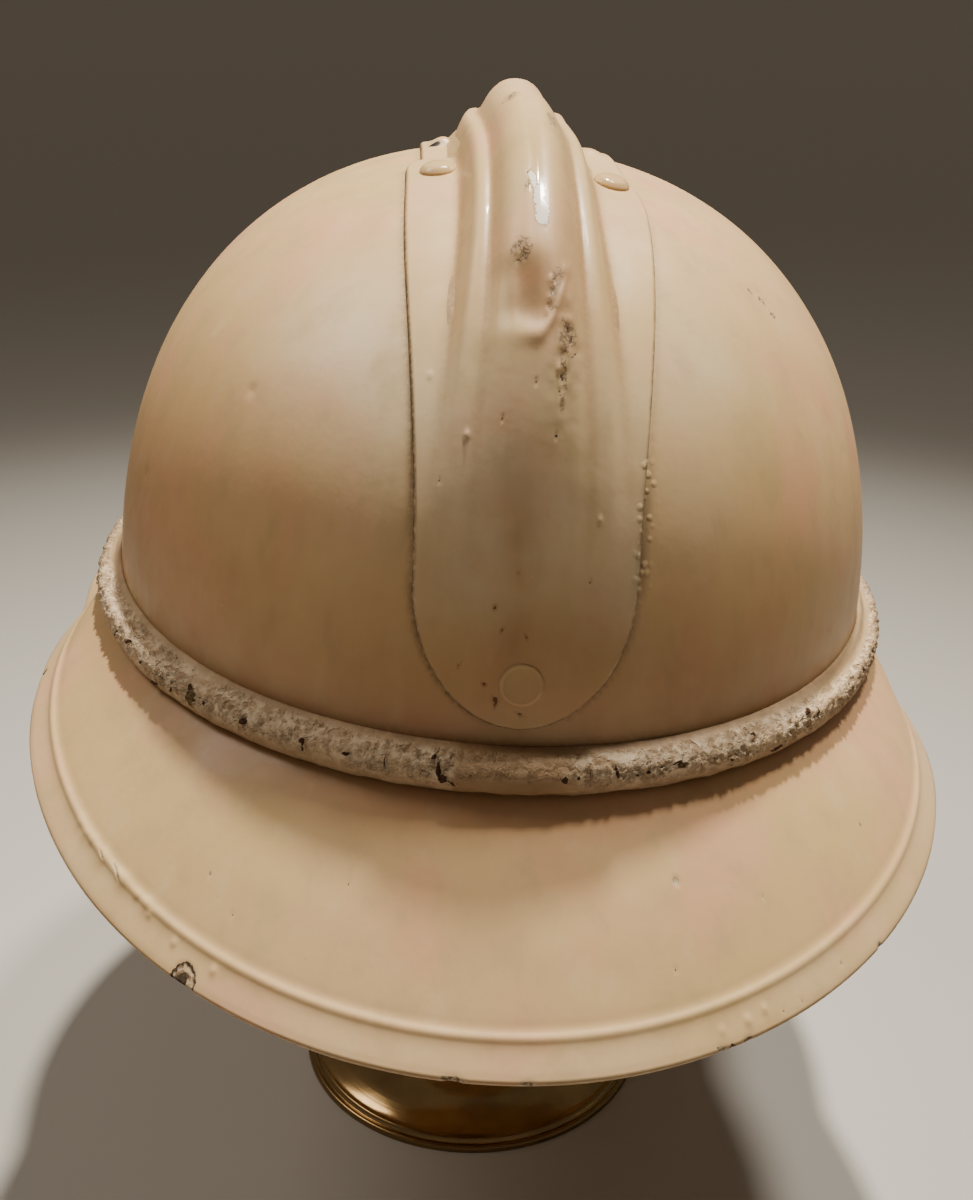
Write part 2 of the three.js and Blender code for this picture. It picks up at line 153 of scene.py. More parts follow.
# Rivets: a head's section is in shares of its radius and height
DOME_RIVET = {"radius": 3.9, "height": 1.7, "shiny": 0.95,
              "section": [(1.12, -0.5), (1.12, 0.1), (0.97, 0.5), (0.78, 0.84), (0.45, 1.0), (0.02, 1.03)]}
FLAT_RIVET = {"radius": 4.1, "height": 0.5, "shiny": 0.0,
              "section": [(1.15, -0.5), (1.15, 0.15), (1.0, 0.85), (0.93, 1.15), (0.86, 1.0), (0.5, 0.95),
                          (0.02, 0.95)]}
SIDE_RIVET_OUT = 0.73  # share of the half width
SIDE_RIVET_BEHIND = 29.0
LEFT_RIVET_AHEAD = 2.4  # of the right one
END_RIVET_INSET = 10.0

# Chin strap: its closed section, as distance out from the crown and height above the flange
STRAP_FOOT = [(0.15, 0.3), (3.3, 0.3), (3.5, -1), (4.7, -1), (5.8, 0.5), (6.3, 2.6)]
STRAP_LOOSE = STRAP_FOOT + [(6, 4.6), (4.7, 6.2), (3.2, 5.8), (2.1, 6.1), (1.2, 8.1), (0.2, 8.6), (-0.2, 8.4)]
# The same section in front and at the rear, where the roll is pressed against the crown
STRAP_TIGHT = STRAP_FOOT + [(6.1, 4.4), (5.1, 5.9), (3.8, 6.8), (2.4, 7.2), (1.1, 7.7), (0.2, 8.2), (-0.2, 8)]
STRAP_CELL = 2.1  # size of the crumpled paint's cells
STRAP_RIDGE_WIDTH = 0.27  # of a cell

# Stand: turned profiles, as radius and height
FOOT_PROFILE = [(51.5, 0), (51.5, 1.1), (51.0, 1.7), (50.1, 1.8), (49.5, 1.3), (49.2, 2.3), (48.6, 3.0),
                (47.7, 2.8), (45.6, 4.0), (42, 6.6), (38, 11.2), (31, 16.8), (22, 20.8), (14.5, 25.5),
                (11.2, 32), (11.2, 36)]
STEM_PROFILE = [(12.4, 0), (12.4, 3.5), (8.6, 6.5), (7.6, 40), (7.6, 202.5), (10.6, 209.5), (10.6, 216.5)]
CAP_PROFILE = [(30, 0), (33.5, 1.8), (34.5, 4.6), (32.5, 7.6), (26, 10.7), (15, 13.2)]
CAP_CROWN = 14.0

# Mesh points. A brim's underside has only every fourth of the points across its face
CROWN_TURNS, CROWN_RINGS, CROWN_INNER_RINGS = 560, 148, 18
NECK_GUARD_ROWS, VISOR_ROWS, BRIM_ACROSS, BRIM_UNDER_STEP = 860, 380, 92, 4
COMB_ROWS, COMB_LIP_ROWS, COMB_ACROSS, COMB_UNDER = 412, 12, 200, 10
STRAP_TURNS, STRAP_AROUND = 1640, 60
RIVET_TURNS = 64
STAND_TURNS, STAND_ROWS = 120, 150

# Millimetres to a degree round the crown, the brims and the strap, for the marks listed by degrees
CROWN_DEGREE, BRIM_DEGREE, STRAP_DEGREE = 1.8, 2.4, 2.0

# In the lists of marks the half sizes, radii, raised heights and tones are in tenths, and a turn or a
# tone that is left out is 0. Tones go from 0, dark metal, to 10, pale undercoat

# Lost paint on the comb: arc, distance out, half length, half width, turn in degrees, and tone
COMB_CHIPS = [
    (163.2, -4.2, 9, 4, 20, 6), (145.5, 4, 8, 2.5, 35, 6), (124.6, -2.2, 12, 2, 40, 4),
    (120.8, -1.9, 14, 1.6, -25, 3), (111.6, 0.9, 2.5, 8, 20, 3), (107.6, -3.8, 9, 3, 35, 6),
    (105.6, -3, 2.5, 9, 20, 6), (104.6, -4.6, 2.5, 6, -30, 6), (98.4, 2.9, 7, 3.5, 30, 10),
    (100.6, 3.2, 8, 2.5, -20, 10), (91.6, 5.9, 14, 2.2, -15, 3), (89.6, 6.6, 10, 2.5, 25, 2),
    (87.2, 7.5, 17, 1.6, 40, 1), (82.3, 4.9, 7, 3.5, -30, 1), (79.4, 4.6, 11, 1.8, -15, 3),
    (81.3, -0.2, 3, 4, 25, 5), (74.4, -6.6, 3.5, 3, 0, 6), (71.5, 4.2, 3.5, 3, 10, 3),
    (56.5, 3, 2.5, 2.5, 0, 3), (43.6, 12.6, 3, 3, 0, 3), (70.3, -13.3, 3.5, 3.5, 0, 2),
    (62.5, -18.5, 4, 2, 30, 3)]
# Bright bare flakes on the crest's top, which partly stand in for a painted highlight: the same columns
CREST_FLAKES_AND_HIGHLIGHT = [(122.6, -1.2, 23, 7, -14), (118.6, 0, 26, 12, 10), (114.4, 0.6, 29, 15, 5)]
# Crazed paint on the crest: the same columns
CREST_CRACKS = [
    (106.8, -3.6, 26, 22), (100.5, 3.4, 38, 13, 12), (95.5, 2.6, 22, 10, -20), (90.6, 6, 38, 19),
    (83.8, 5.2, 42, 8, -6), (77.6, 5.2, 22, 6), (163, -3.8, 34, 20, 10), (149, 4.5, 42, 13),
    (121, -2.4, 20, 6, 10)]
# Rust through the comb's paint: the same columns
COMB_RUST = [
    (37.9, -6.3, 4.5, 4), (33.4, -4.6, 5, 2.5, 30), (32.2, 0.3, 6, 2.2, -30), (25.5, -12.8, 8, 1.5, 35),
    (21.9, -7.6, 3.5, 4.5, 20), (18.7, -5.1, 7, 5.5, -25), (17.8, -5, 9, 2.5, 20), (15.8, 0, 2.5, 8, 25),
    (45, -2, 2.5, 2.5)]
# Raised blisters of paint on the comb: arc, distance out, radius, height
COMB_BLISTERS = [
    (65, 24.6, 8, 5), (61.4, 24.4, 9, 5.5), (58.6, 24.3, 6, 4), (55.6, 24.2, 8, 5), (52, 24.1, 7, 4.5),
    (48.6, 23.8, 8, 5), (45.8, 23.7, 5, 4), (71.6, -13.4, 9, 5), (56, 14, 8, 3.5), (85, -21, 12, 2.5),
    (100.5, 2.2, 10, 5), (97, 2, 8, 5), (94.4, 1.6, 8, 4), (103.5, 5.2, 7, 4.5), (83.8, 4.2, 9, 5),
    (78.6, 5.2, 8, 4)]

# Marks round the crown: degrees round it from the right side, height, half sizes, turn and tone
CROWN_CHIPS = [
    (323.6, 88.5, 13, 10, 20, 6), (324.2, 85.6, 12, 9, -10, 6), (322, 90.5, 9, 7, 0, 6),
    (229, 24, 7, 4, 0, 5), (233.5, 14, 5, 5, 0, 4), (222, 19.5, 4, 4, 0, 5), (301, 23.5, 4, 4, 0, 5),
    (318, 30, 4, 4, 0, 5), (40, 60, 14, 9, 10, 4), (118, 38, 16, 10, 40, 3), (151, 72, 11, 9, 0, 5),
    (75, 22, 12, 7, 0, 3)]
# Raised blisters of paint on the crown: degrees, height, radius and how far they stand out
CROWN_BLISTERS = [(225.3, 67.9, 16, 4.5), (330.5, 55, 15, 2.5), (205, 40, 16, 2.5)]
# Pale patches on the crown, partly cleaner paint and partly a painted sheen: degrees, height, spread round in
# degrees and up, and how pale, to 1
CROWN_CLEAN_AND_SHEEN = [
    (238, 84, 14, 15, 1), (250, 62, 9, 16, 0.8), (296, 82, 12, 16, 0.9), (292, 52, 7, 12, 0.5),
    (318, 40, 8, 8, 0.35), (60, 80, 18, 18, 0.7), (130, 70, 16, 16, 0.7)]

# Marks round the brims: degrees, distance out from the crown's base, half sizes, turn and tone
OVAL_CHIP = (242.2, 39.3, 30, 23, 15)
BRIM_CHIPS = [
    (240.3, 24.8, 4.5, 3, 30, 6), (244.2, 28.7, 3, 3, 0, 6), (286.6, 18.4, 9, 6.5, 0, 9.5),
    (295.4, 24, 4, 3.5, 0, 7), (284.6, 30.3, 3, 3, 0, 6), (293.5, 39.4, 3.5, 3, 0, 4),
    (295.6, 39, 3.5, 3, 0, 5), (301.1, 36.5, 3, 2.5, 0, 5), (288.1, 41.6, 5, 4.5),
    (287.3, 41.8, 17, 4.5, 12, 8), (289.6, 41.5, 15, 5, -8, 6), (265.5, 43.2, 24, 8, 0, 6),
    (271.2, 43.5, 20, 7, 0, 6), (306.3, 37.2, 8, 6, 0, 5), (231, 31.3, 22, 2, 22, 10),
    (228.4, 30.6, 12, 1.6, 18, 10), (215, 35, 10, 6, 0, 7), (312, 21, 3, 3, 0, 5), (254, 20, 3, 3, 0, 5),
    (196, 20.5, 12, 8, 0, 3), (345, 15.5, 10, 8, 0, 3), (40, 32, 13, 8, 20, 2), (78, 34.5, 22, 8, 0, 3),
    (101, 34.8, 12, 8, 0, 1), (122, 18, 7, 6, 0, 3), (149, 29, 16, 8, 0, 2), (64, 15, 6, 5, 0, 4)]
# Thick uneven paint along the neck guard's ridge: degrees, distance out, radius, height
BRIM_LUMPS = [
    (223.5, 28.9, 22, 2), (225, 29.8, 19, 2), (226.3, 29.6, 17, 2.5), (228.6, 30.6, 28, 2.5),
    (231.4, 31.3, 14, 2), (232.2, 31.6, 29, 3), (234.4, 32.4, 14, 2), (235.8, 32.9, 22, 2),
    (236.5, 33.8, 10, 3), (240, 35.4, 11, 3.5), (244.5, 36.6, 12, 4), (290, 39, 14, 4),
    (291.8, 38.2, 12, 3.5), (287.5, 39.4, 12, 3)]

# Marks round the strap: degrees, height above the crown's flange, half sizes, turn and tone
STRAP_CHIPS = [
    (208.5, 3.4, 6, 9), (212.6, 4.7, 14, 4, 45), (216.8, 3.2, 5, 6, 0, 1), (219.8, 0.4, 22, 6, 10, 1),
    (224.2, 2.6, 6, 6, 0, 1), (228, 3.5, 16, 22, 15, 8), (227.4, 5.4, 12, 5, -15), (230.4, 3.9, 6, 6),
    (236.7, 4.2, 10, 7, 15), (244.9, 4.6, 8, 4.5), (245.1, 3.2, 3, 14, 0, 1), (250.4, 4.3, 9, 4),
    (255.1, 4, 2.2, 16, 5, 1), (260.5, 6.4, 6, 4), (261.2, 4.2, 5.5, 18, 5), (261.7, 2.4, 11, 9),
    (262.9, 1.8, 14, 3, -20), (275.4, 3.6, 9, 7.5, -10), (277, 3.9, 4, 4, 0, 1), (278.4, 4.4, 2, 16, 0, 1),
    (281.6, 4.4, 4.5, 15, 15), (284, 3.4, 5, 3, 0, 1), (285.4, 3.8, 6, 3, 20, 1), (287.2, 4, 4, 3, 0, 1),
    (289.8, 4.1, 18, 6, 8, 7), (289.2, 4.9, 16, 2.2, 12), (292.2, 3.6, 3.5, 3.5), (294, 4.2, 3.5, 3.5),
    (296.5, 3, 4, 4), (300.4, 6.2, 5, 4, 0, 1), (310.8, 6, 9, 4, 20), (312.6, 4.9, 3, 13, -20),
    (320.5, 3.2, 9, 3.5, 30, 1), (327.5, 4.6, 7, 5), (334.5, 5.4, 2.5, 15, 20, 2),
    (304.5, 1.2, 24, 5, 5, 1), (20, 3.5, 10, 6, 20, 1), (47, 4.2, 3, 15), (71, 3, 14, 12, 10, 8),
    (96, 4.4, 8, 5), (118, 3.2, 10, 4, 25, 1), (139, 4, 3, 14), (163, 3.4, 12, 9, 0, 7), (182, 4, 4, 9),
    (352, 3.6, 8, 5, 0, 1)]

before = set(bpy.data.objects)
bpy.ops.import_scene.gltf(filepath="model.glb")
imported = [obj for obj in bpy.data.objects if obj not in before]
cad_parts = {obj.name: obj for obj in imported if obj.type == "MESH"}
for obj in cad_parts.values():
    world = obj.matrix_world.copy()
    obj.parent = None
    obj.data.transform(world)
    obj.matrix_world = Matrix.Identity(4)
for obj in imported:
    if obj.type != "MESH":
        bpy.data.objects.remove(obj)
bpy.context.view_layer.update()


# -------- camera, lights and floor

def new_object(name, data):
    made = bpy.data.objects.new(name, data)
    bpy.context.scene.collection.objects.link(made)
    return made


def camera():
    data = bpy.data.cameras.new("camera")
    data.lens = CAMERA_LENS
    data.sensor_width = SENSOR
    data.clip_start = CAMERA_NEAR
    made = new_object("camera", data)
    place, aim = Vector(CAMERA_PLACE) * MM, Vector(CAMERA_AIM) * MM
    turn = (aim - place).to_track_quat("-Z", "Y").to_matrix().to_4x4()
    made.matrix_world = Matrix.Translation(place) @ turn @ Matrix.Rotation(CAMERA_ROLL, 4, "Z")
    bpy.context.scene.camera = made


def lights():
    for name, (azimuth, elevation, distance, size, power, colour, beam) in LIGHTS.items():
        lamp = bpy.data.lights.new(name, "AREA")
        lamp.shape = "DISK"
        lamp.size = size
        lamp.energy = power
        lamp.color = colour
        lamp.spread = radians(beam)
        turn, climb = radians(azimuth), radians(elevation)
        away = Vector((sin(turn) * cos(climb), cos(turn) * cos(climb), sin(climb)))
        made = new_object(name, lamp)
        made.location = Vector(HELMET_SEAT) * MM + away * distance
        made.rotation_euler = (-away).to_track_quat("-Z", "Y").to_euler()
    world = bpy.data.worlds.new("studio")
    world.use_nodes = True
    world.node_tree.nodes["Background"].inputs["Color"].default_value = SKY
    bpy.context.scene.world = world


def floor():
    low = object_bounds()[0][2]
    corners = [(x * FLOOR_HALF, y * FLOOR_HALF, low) for x, y in ((-1, -1), (1, -1), (1, 1), (-1, 1))]
    data = bpy.data.meshes.new("floor")
    data.from_pydata(corners, [], [(0, 1, 2, 3)])
    data.materials.append(new_material("floor", FLOOR_LOOK)[0])
    made = new_object("floor", data)
    made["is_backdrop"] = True


# -------- materials

def new_material(name, fixed):
    """A material, its node tree and its shader, with what is the same all over the surface."""
    material = bpy.data.materials.new(name)
    material.use_nodes = True
    shader = material.node_tree.nodes["Principled BSDF"]
    for socket, value in fixed.items():
        shader.inputs[socket].default_value = value
    return material, material.node_tree, shader


class Look:
    """A material whose colour is laid on coat by coat. Sizes and depths are in millimetres."""

    def __init__(self, name, colours, fixed):
        self.material, self.tree, self.shader = new_material(name, fixed)
        self.at = self.node("TexCoord", {})["Object"]
        self.colours = colours
        self.tone = "base"

    def node(self, kind, inputs, **settings):
        """A new node's outputs, with its settings and with values or links on its inputs."""
        made = self.tree.nodes.new("ShaderNode" + kind)
        for name, value in settings.items():
            setattr(made, name, value)
        for name, value in inputs.items():
            if isinstance(value, bpy.types.NodeSocket):
                self.tree.links.new(value, made.inputs[name])
            else:
                made.inputs[name].default_value = value
        return made.outputs

    def maths(self, operation, a, b=0, clamp=False):
        return self.node("Math", {0: a, 1: b}, operation=operation, use_clamp=clamp)[0]

    plus = partialmethod(maths, "ADD")
    minus = partialmethod(maths, "SUBTRACT")
    times = partialmethod(maths, "MULTIPLY")
    larger = partialmethod(maths, "MAXIMUM")
    power = partialmethod(maths, "POWER")

    def mix(self, factor, *colours):
        """A colour between two, which are named or made by nodes."""
        a, b = [(*self.colours[c], 1) if isinstance(c, str) else c for c in colours]
        return self.node("Mix", {0: factor, 6: a, 7: b}, data_type="RGBA")[2]

    def coat(self, colour, factor):
        """Lays a colour over the tone as thickly as the factor says."""
        self.tone = self.mix(factor, self.tone, colour)

    def spread(self, value, low, high, to_low=0, to_high=1):
        """A value between low and high eased onto the range to_low to to_high."""
        inputs = {"Value": value, "From Min": low, "From Max": high, "To Min": to_low, "To Max": to_high}
        return self.node("MapRange", inputs, interpolation_type="SMOOTHSTEP")[0]

    def painted(self, name):
        """A number kept on the mesh's points."""
        return self.node("Attribute", {}, attribute_name=name)["Fac"]

    def grain(self, size, detail=3, roughness=0.55, at=None):
        """Noise from about 0.25 to 0.75 whose features are about the given size."""
        inputs = {"Vector": at or self.at, "Scale": 1 / (size * MM), "Detail": detail, "Roughness": roughness}
        return self.node("TexNoise", inputs)[0]

    def torn(self, size):
        """Noise about 0 that makes the outlines of marks ragged."""
        return self.times(self.minus(self.grain(size, 4, 0.7), 0.5), 1.6)

    def net(self, scale, bend_scale, bend):
        """Distance from the lines of a net of cells, pushed about by noise so that it runs unevenly."""
        push = self.node("TexNoise", {"Vector": self.at, "Scale": bend_scale, "Detail": 1})["Color"]
        push = self.node("VectorMath", {0: push, 1: (0.5, 0.5, 0.5)}, operation="SUBTRACT")[0]
        push = self.node("VectorMath", {0: push, "Scale": bend}, operation="SCALE")[0]
        at = self.node("VectorMath", {0: self.at, 1: push}, operation="ADD")[0]
        cells = {"Vector": at, "Scale": scale}
        return self.node("TexVoronoi", cells, feature="DISTANCE_TO_EDGE")["Distance"]

    def bump(self, height, depth, under=None):
        """The normal that this relief gives, over the relief under it."""
        inputs = {"Height": height, "Distance": depth * MM}
        if under:
            inputs["Normal"] = under
        return self.node("Bump", inputs)[0]

    def chips(self, ragged, size):
        """Lays ragged chips where the mesh says, down to dark, bare or pale, and gives their mask."""
        depth = self.plus(self.painted("chip"), ragged)
        chip = self.spread(depth, -0.05, 0.08)
        patchy = self.spread(self.grain(size * 0.6, 3, 0.6), 0.4, 0.6, -0.28, 0.28)
        paleness = self.plus(self.painted("pale"), patchy, clamp=True)
        under = self.mix(self.spread(paleness, 0.05, 0.45), "dark", "bare")
        under = self.mix(self.spread(paleness, 0.5, 0.95), under, "pale")
        self.coat("rim", self.times(self.spread(depth, -0.28, -0.06), 0.3))
        self.coat(under, chip)
        return chip

    def finished(self, roughness, normal):
        for name, value in (("Base Color", self.tone), ("Roughness", roughness), ("Normal", normal)):
            self.tree.links.new(value, self.shader.inputs[name])
        return self.material


def helmet_paint():
    """Thick glossy cream paint, yellowed, with grime and painted shade, paler patches and bright flakes that
    are partly painted sheen and highlight, chips and rust spots where the mesh says.
    """
    look = Look("helmet_paint", PAINT, PAINT_GLOSS)
    ragged = look.torn(1.3)
    blotch = look.grain(22, 3, 0.6)
    fine = look.grain(0.8, 2, 0.6)

    # The paint's own colour, its smears and its drips, a reddish flush that is partly painted shade and
    # light, and paler patches that are partly painted sheen and light
    look.coat("yellowed", look.spread(look.grain(55, 1), 0.35, 0.65))
    look.coat("rosy", look.spread(look.grain(26, 1), 0.48, 0.7))
    look.coat("flush_and_painted_light", look.painted("flush_and_painted_light"))
    look.coat("clean_and_lit", look.times(look.painted("clean_and_lit"), look.spread(blotch, 0.25, 0.6, 0.8, 0.4)))
    smear = look.grain(11, 4, 0.62)
    look.coat("smear", look.spread(smear, 0.5, 0.78, 0, 0.22))
    drawn_out = look.node("Mapping", {0: look.at, 3: (1, 1, 0.3)})[0]
    drips = look.grain(9, 3, 0.6, drawn_out)
    look.coat("drip", look.spread(drips, 0.5, 0.7, 0, 0.3))
    look.coat("pale drip", look.spread(drips, 0.46, 0.3, 0, 0.22))

    # Browning, specks, grime and rust; the browning and grime are partly painted shade
    brown = look.mix(look.spread(blotch, 0.42, 0.62), "brown", "red brown")
    look.coat(brown, look.times(look.painted("age_and_shade"), look.spread(blotch, 0.3, 0.66, 0.72, 1)))
    look.coat("speck", look.spread(fine, 0.74, 0.8, 0, 0.4))
    soil = look.spread(look.plus(ragged, 0.5), 0.2, 0.64, 0.25, 1)
    dirt_and_shade = look.times(look.painted("grime_and_shade"), soil, clamp=True)
    look.coat("grime_and_shade", dirt_and_shade)
    rust = look.painted("rust")
    look.coat("rust", look.spread(look.plus(rust, fine), 0.45, 0.75))
    look.coat("halo", look.spread(rust, -1.6, 0.2, 0, 0.35))

    # Chips, crazed cracks, bright flakes that are partly a painted highlight, bubbles, and the vent's hole
    # painted black as its shade
    chip = look.chips(ragged, 1.3)
    inside = look.spread(look.plus(look.painted("cracked"), ragged), -0.1, 0.35)
    look.coat("crazed", look.times(inside, look.spread(fine, 0.35, 0.65, 0.1, 0.65)))
    look.coat("crack", look.times(look.spread(look.net(520, 600, 0.0028), 0.02, 0.1, 0.75, 0), inside))
    torn = look.plus(look.painted("flake_and_highlight"), ragged)
    flake_and_highlight = look.spread(torn, 0, 0.06)
    look.coat("torn", look.spread(torn, -0.22, -0.02, 0, 0.5))
    look.coat("flake_and_highlight", flake_and_highlight)
    cells = {"Vector": look.at, "Scale": 430, "Randomness": 0.9}
    cells = look.node("TexVoronoi", cells)["Distance"]
    blistered = look.painted("blistered")
    bubbles = look.times(look.spread(cells, 0.1, 0.46, 1, 0), blistered)
    look.coat("pit", look.times(look.minus(blistered, bubbles), 0.45, clamp=True))
    look.coat("bubble", look.times(bubbles, 0.3))
    look.coat("vent_hole_shade", look.painted("vent_hole_shade"))

    # Gloss and relief
    gloss = look.spread(smear, 0.3, 0.7, 0.34, 0.48)
    gloss = look.plus(gloss, look.times(look.larger(dirt_and_shade, chip), 0.35), clamp=True)
    shiny = look.larger(look.painted("shiny"), flake_and_highlight, clamp=True)
    gloss = look.minus(gloss, look.times(shiny, look.minus(gloss, 0.12)))
    peel = look.bump(look.grain(1.9, 2, 0.5), 0.032)
    bubbled = look.bump(bubbles, 0.35, peel)
    return look.finished(gloss, look.bump(look.minus(1, chip), 0.14, bubbled))


def painted_leather():
    """Cream paint over leather, crumpled into a net of ridges, with cracks and chips to the hide, and grime
    and browning that are partly painted shade.
    """
    look = Look("painted_leather", STRAP, {"Specular IOR Level": 0.3})
    wrinkled, fresh = look.painted("wrinkled"), look.painted("fresh")
    finer = look.times(look.spread(look.net(900, 700, 0.0022), 0.02, 0.2, 0.55, 0), wrinkled)
    broken = look.spread(look.grain(2.6, 4, 0.6), 0.34, 0.54)
    ridge = look.times(look.larger(look.painted("ridge"), finer), broken)
    look.coat("fresh", fresh)
    look.coat("stain", look.spread(look.grain(9), 0.35, 0.65, 0, 0.6))
    hollow = look.times(wrinkled, look.spread(look.grain(1.4, 4, 0.7), 0.4, 0.58, 0.3, 0.88))
    look.coat(look.mix(fresh, "hollow", "fresh hollow"), hollow)
    look.coat(look.mix(fresh, "ridge", "fresh ridge"), ridge)
    look.coat("aged_and_shaded", look.times(look.painted("aged_and_shaded"), 0.8))
    soil = look.spread(look.grain(2.4, 4, 0.7), 0.34, 0.64, 0.3, 1)
    look.coat("grime_and_shade", look.times(look.painted("grime_and_shade"), soil, clamp=True))
    look.coat("grime_and_shade", look.times(look.spread(look.grain(1.1, 3, 0.6), 0.66, 0.71), wrinkled))
    chip = look.chips(look.torn(0.9), 0.9)
    roughness = look.plus(look.spread(look.grain(3, 2), 0.3, 0.7, 0.48, 0.64), look.times(chip, 0.25))
    pores = look.bump(look.grain(0.8, 3, 0.65), 0.18, look.bump(ridge, 0.7))
    return look.finished(roughness, look.bump(look.minus(1, chip), 0.25, pores))


def stand_brass():
    """Turned brass, browned with age, with tarnish in its grooves and faint lathe rings."""
    look = Look("stand_brass", BRASS, {"Metallic": 1})
    stain = look.spread(look.grain(17, 4, 0.6), 0.32, 0.7, 0.15, 0.7)
    stain = look.larger(stain, look.painted("grime_and_shade"))
    look.coat("dull", stain)
    look.coat("green", look.spread(look.grain(30, 2), 0.5, 0.7, 0, 0.35))
    x, y, z = look.node("SeparateXYZ", {0: look.at})
    radius = look.maths("SQRT", look.plus(look.power(x, 2), look.power(y, 2)))
    ring = look.node("CombineXYZ", {0: radius, 2: z})[0]
    lathe = look.bump(look.grain(0.7, 3, 0.6, ring), 0.014)
    return look.finished(look.spread(stain, 0, 1, 0.14, 0.28), lathe)


# -------- shaping helpers

def ease(value, low, high):
    """0 up to low, 1 from high, and a smooth step between them."""
    t = np.clip((np.asarray(value, float) - low) / (high - low), 0, 1)
    return t * t * (3 - 2 * t)


def within(value, rise, fall):
    """0 up to the start of the rise, 1 from its end to the start of the fall, and 0 after that."""
    return ease(value, *rise) * (1 - ease(value, *fall))


def hump(value, middle, reach, power=2):
    """1 in the middle, about a third at this reach to either side, and 0 far out."""
    return np.exp(-((value - middle) / reach) ** power)


def rounded(line, closed, times=3):
    """A line of control points with its corners cut again and again."""
    line = np.array(line, float)
    for _ in range(times):
        after = np.roll(line, -1, axis=0) if closed else line[1:]
        before = line if closed else line[:-1]
        cut = np.stack([0.75 * before + 0.25 * after, 0.25 * before + 0.75 * after], axis=1)
        cut = cut.reshape(-1, line.shape[1])
        line = cut if closed else np.concatenate([line[:1], cut, line[-1:]])
    return line


def respaced(line, count, closed=False, closer=None):
    """A line's points spaced evenly along it, or three times closer round a place this far from its end."""
    if closed:
        line = np.concatenate([line, line[:1]])
    run = np.concatenate([[0], np.cumsum(np.linalg.norm(np.diff(line, axis=0), axis=1))])
    if closer is not None:
        run = run + 5 * np.tanh((run - run[-1] + closer) / 2.5) + 5
    at = np.linspace(0, run[-1], count, endpoint=not closed)
    return np.stack([np.interp(at, run, line[:, k]) for k in range(line.shape[1])], axis=1)


def around(count):
    """Angles evenly round a circle."""
    return np.arange(count) / count * 2 * pi


def normals(grid, loop):
    """Normals of a grid of points, whose columns close on themselves. Its rows do too if loop is true."""
    across = np.roll(grid, -1, 1) - np.roll(grid, 1, 1)
    along = np.roll(grid, -1, 0) - np.roll(grid, 1, 0) if loop else np.gradient(grid, axis=0)
    out = np.cross(across, along)
    return out / np.maximum(np.linalg.norm(out, axis=2, keepdims=True), 1e-9)


def raised(grid, lift, loop=False):
    """A grid whose first rows and columns are lifted off its surface, by as many lifts as there are."""
    rows, columns = lift.shape
    grid = grid.copy()
    grid[:rows, :columns] += normals(grid, loop)[:rows, :columns] * lift[..., None]
    return grid


def noise_at(points, size, shift=0.0):
    """Smooth noise from about -1 to 1 at each of an array of points."""
    flat = points.reshape(-1, 3) / size + shift
    return np.array([noise.noise(p) for p in flat.tolist()]).reshape(points.shape[:-1])


def uneven(points, *waves):
    """Noise in layers. Each has a height, the size of its features and a shift."""
    return sum(height * noise_at(points, size, shift) for height, size, shift in waves)


def degrees_from(degrees, place):
    """Signed degrees from a place on a circle, the short way round."""
    return (degrees - place + 180) % 360 - 180


def distance(u, place, degree):
    """Millimetres from a place along an arc or, if a degree's length is given, round a circle."""
    return degrees_from(u, place) * degree if degree else u - place


def marks(u, v, table, degree=None):
    """A field that is 1 in the middle of each mark, 0 at its edge and -2 far outside, and their tone."""
    u, v = np.broadcast_arrays(u, v)
    field, tones = np.full(u.shape, NO_MARK), np.zeros(u.shape)
    for mark in table:
        at_u, at_v, half_u, half_v, turn, tone = (*mark, 0, 0)[:6]
        du, dv = distance(u, at_u, degree), v - at_v
        c, s = cos(radians(turn)), sin(radians(turn))
        reach = 1 - np.hypot((du * c + dv * s) / (half_u / 10), (dv * c - du * s) / (half_v / 10))
        tones = np.where(reach > field, tone / 10, tones)
        field = np.maximum(field, reach)
    return field, tones


def blisters(u, v, table, degree=None):
    """Height of raised round spots."""
    return sum(height / 10 * hump(np.hypot(distance(u, at_u, degree), v - at_v), 0, 0.055 * radius)
               for at_u, at_v, radius, height in table)


# -------- pieces

# Fields where there are no marks, inside the helmet and under its brims
NO_MARK = -2.0
UNMARKED = {"chip": NO_MARK, "rust": NO_MARK, "flake_and_highlight": NO_MARK, "cracked": NO_MARK}
INSIDE = {**UNMARKED, "grime_and_shade": 0.4, "age_and_shade": 0.3}
UNDER_BRIM = {**UNMARKED, "grime_and_shade": 0.5, "age_and_shade": 0.35, "clean_and_lit": 0.06}
LOOKS = {"helmet_paint": helmet_paint(), "painted_leather": painted_leather(), "stand_brass": stand_brass()}


def seated(points):
    """Points of the helmet's frame in the row's frame, in metres."""
    turn = np.array(Matrix.Rotation(LEAN, 3, "Y"))
    return (points @ turn.T + HELMET_SEAT) * MM


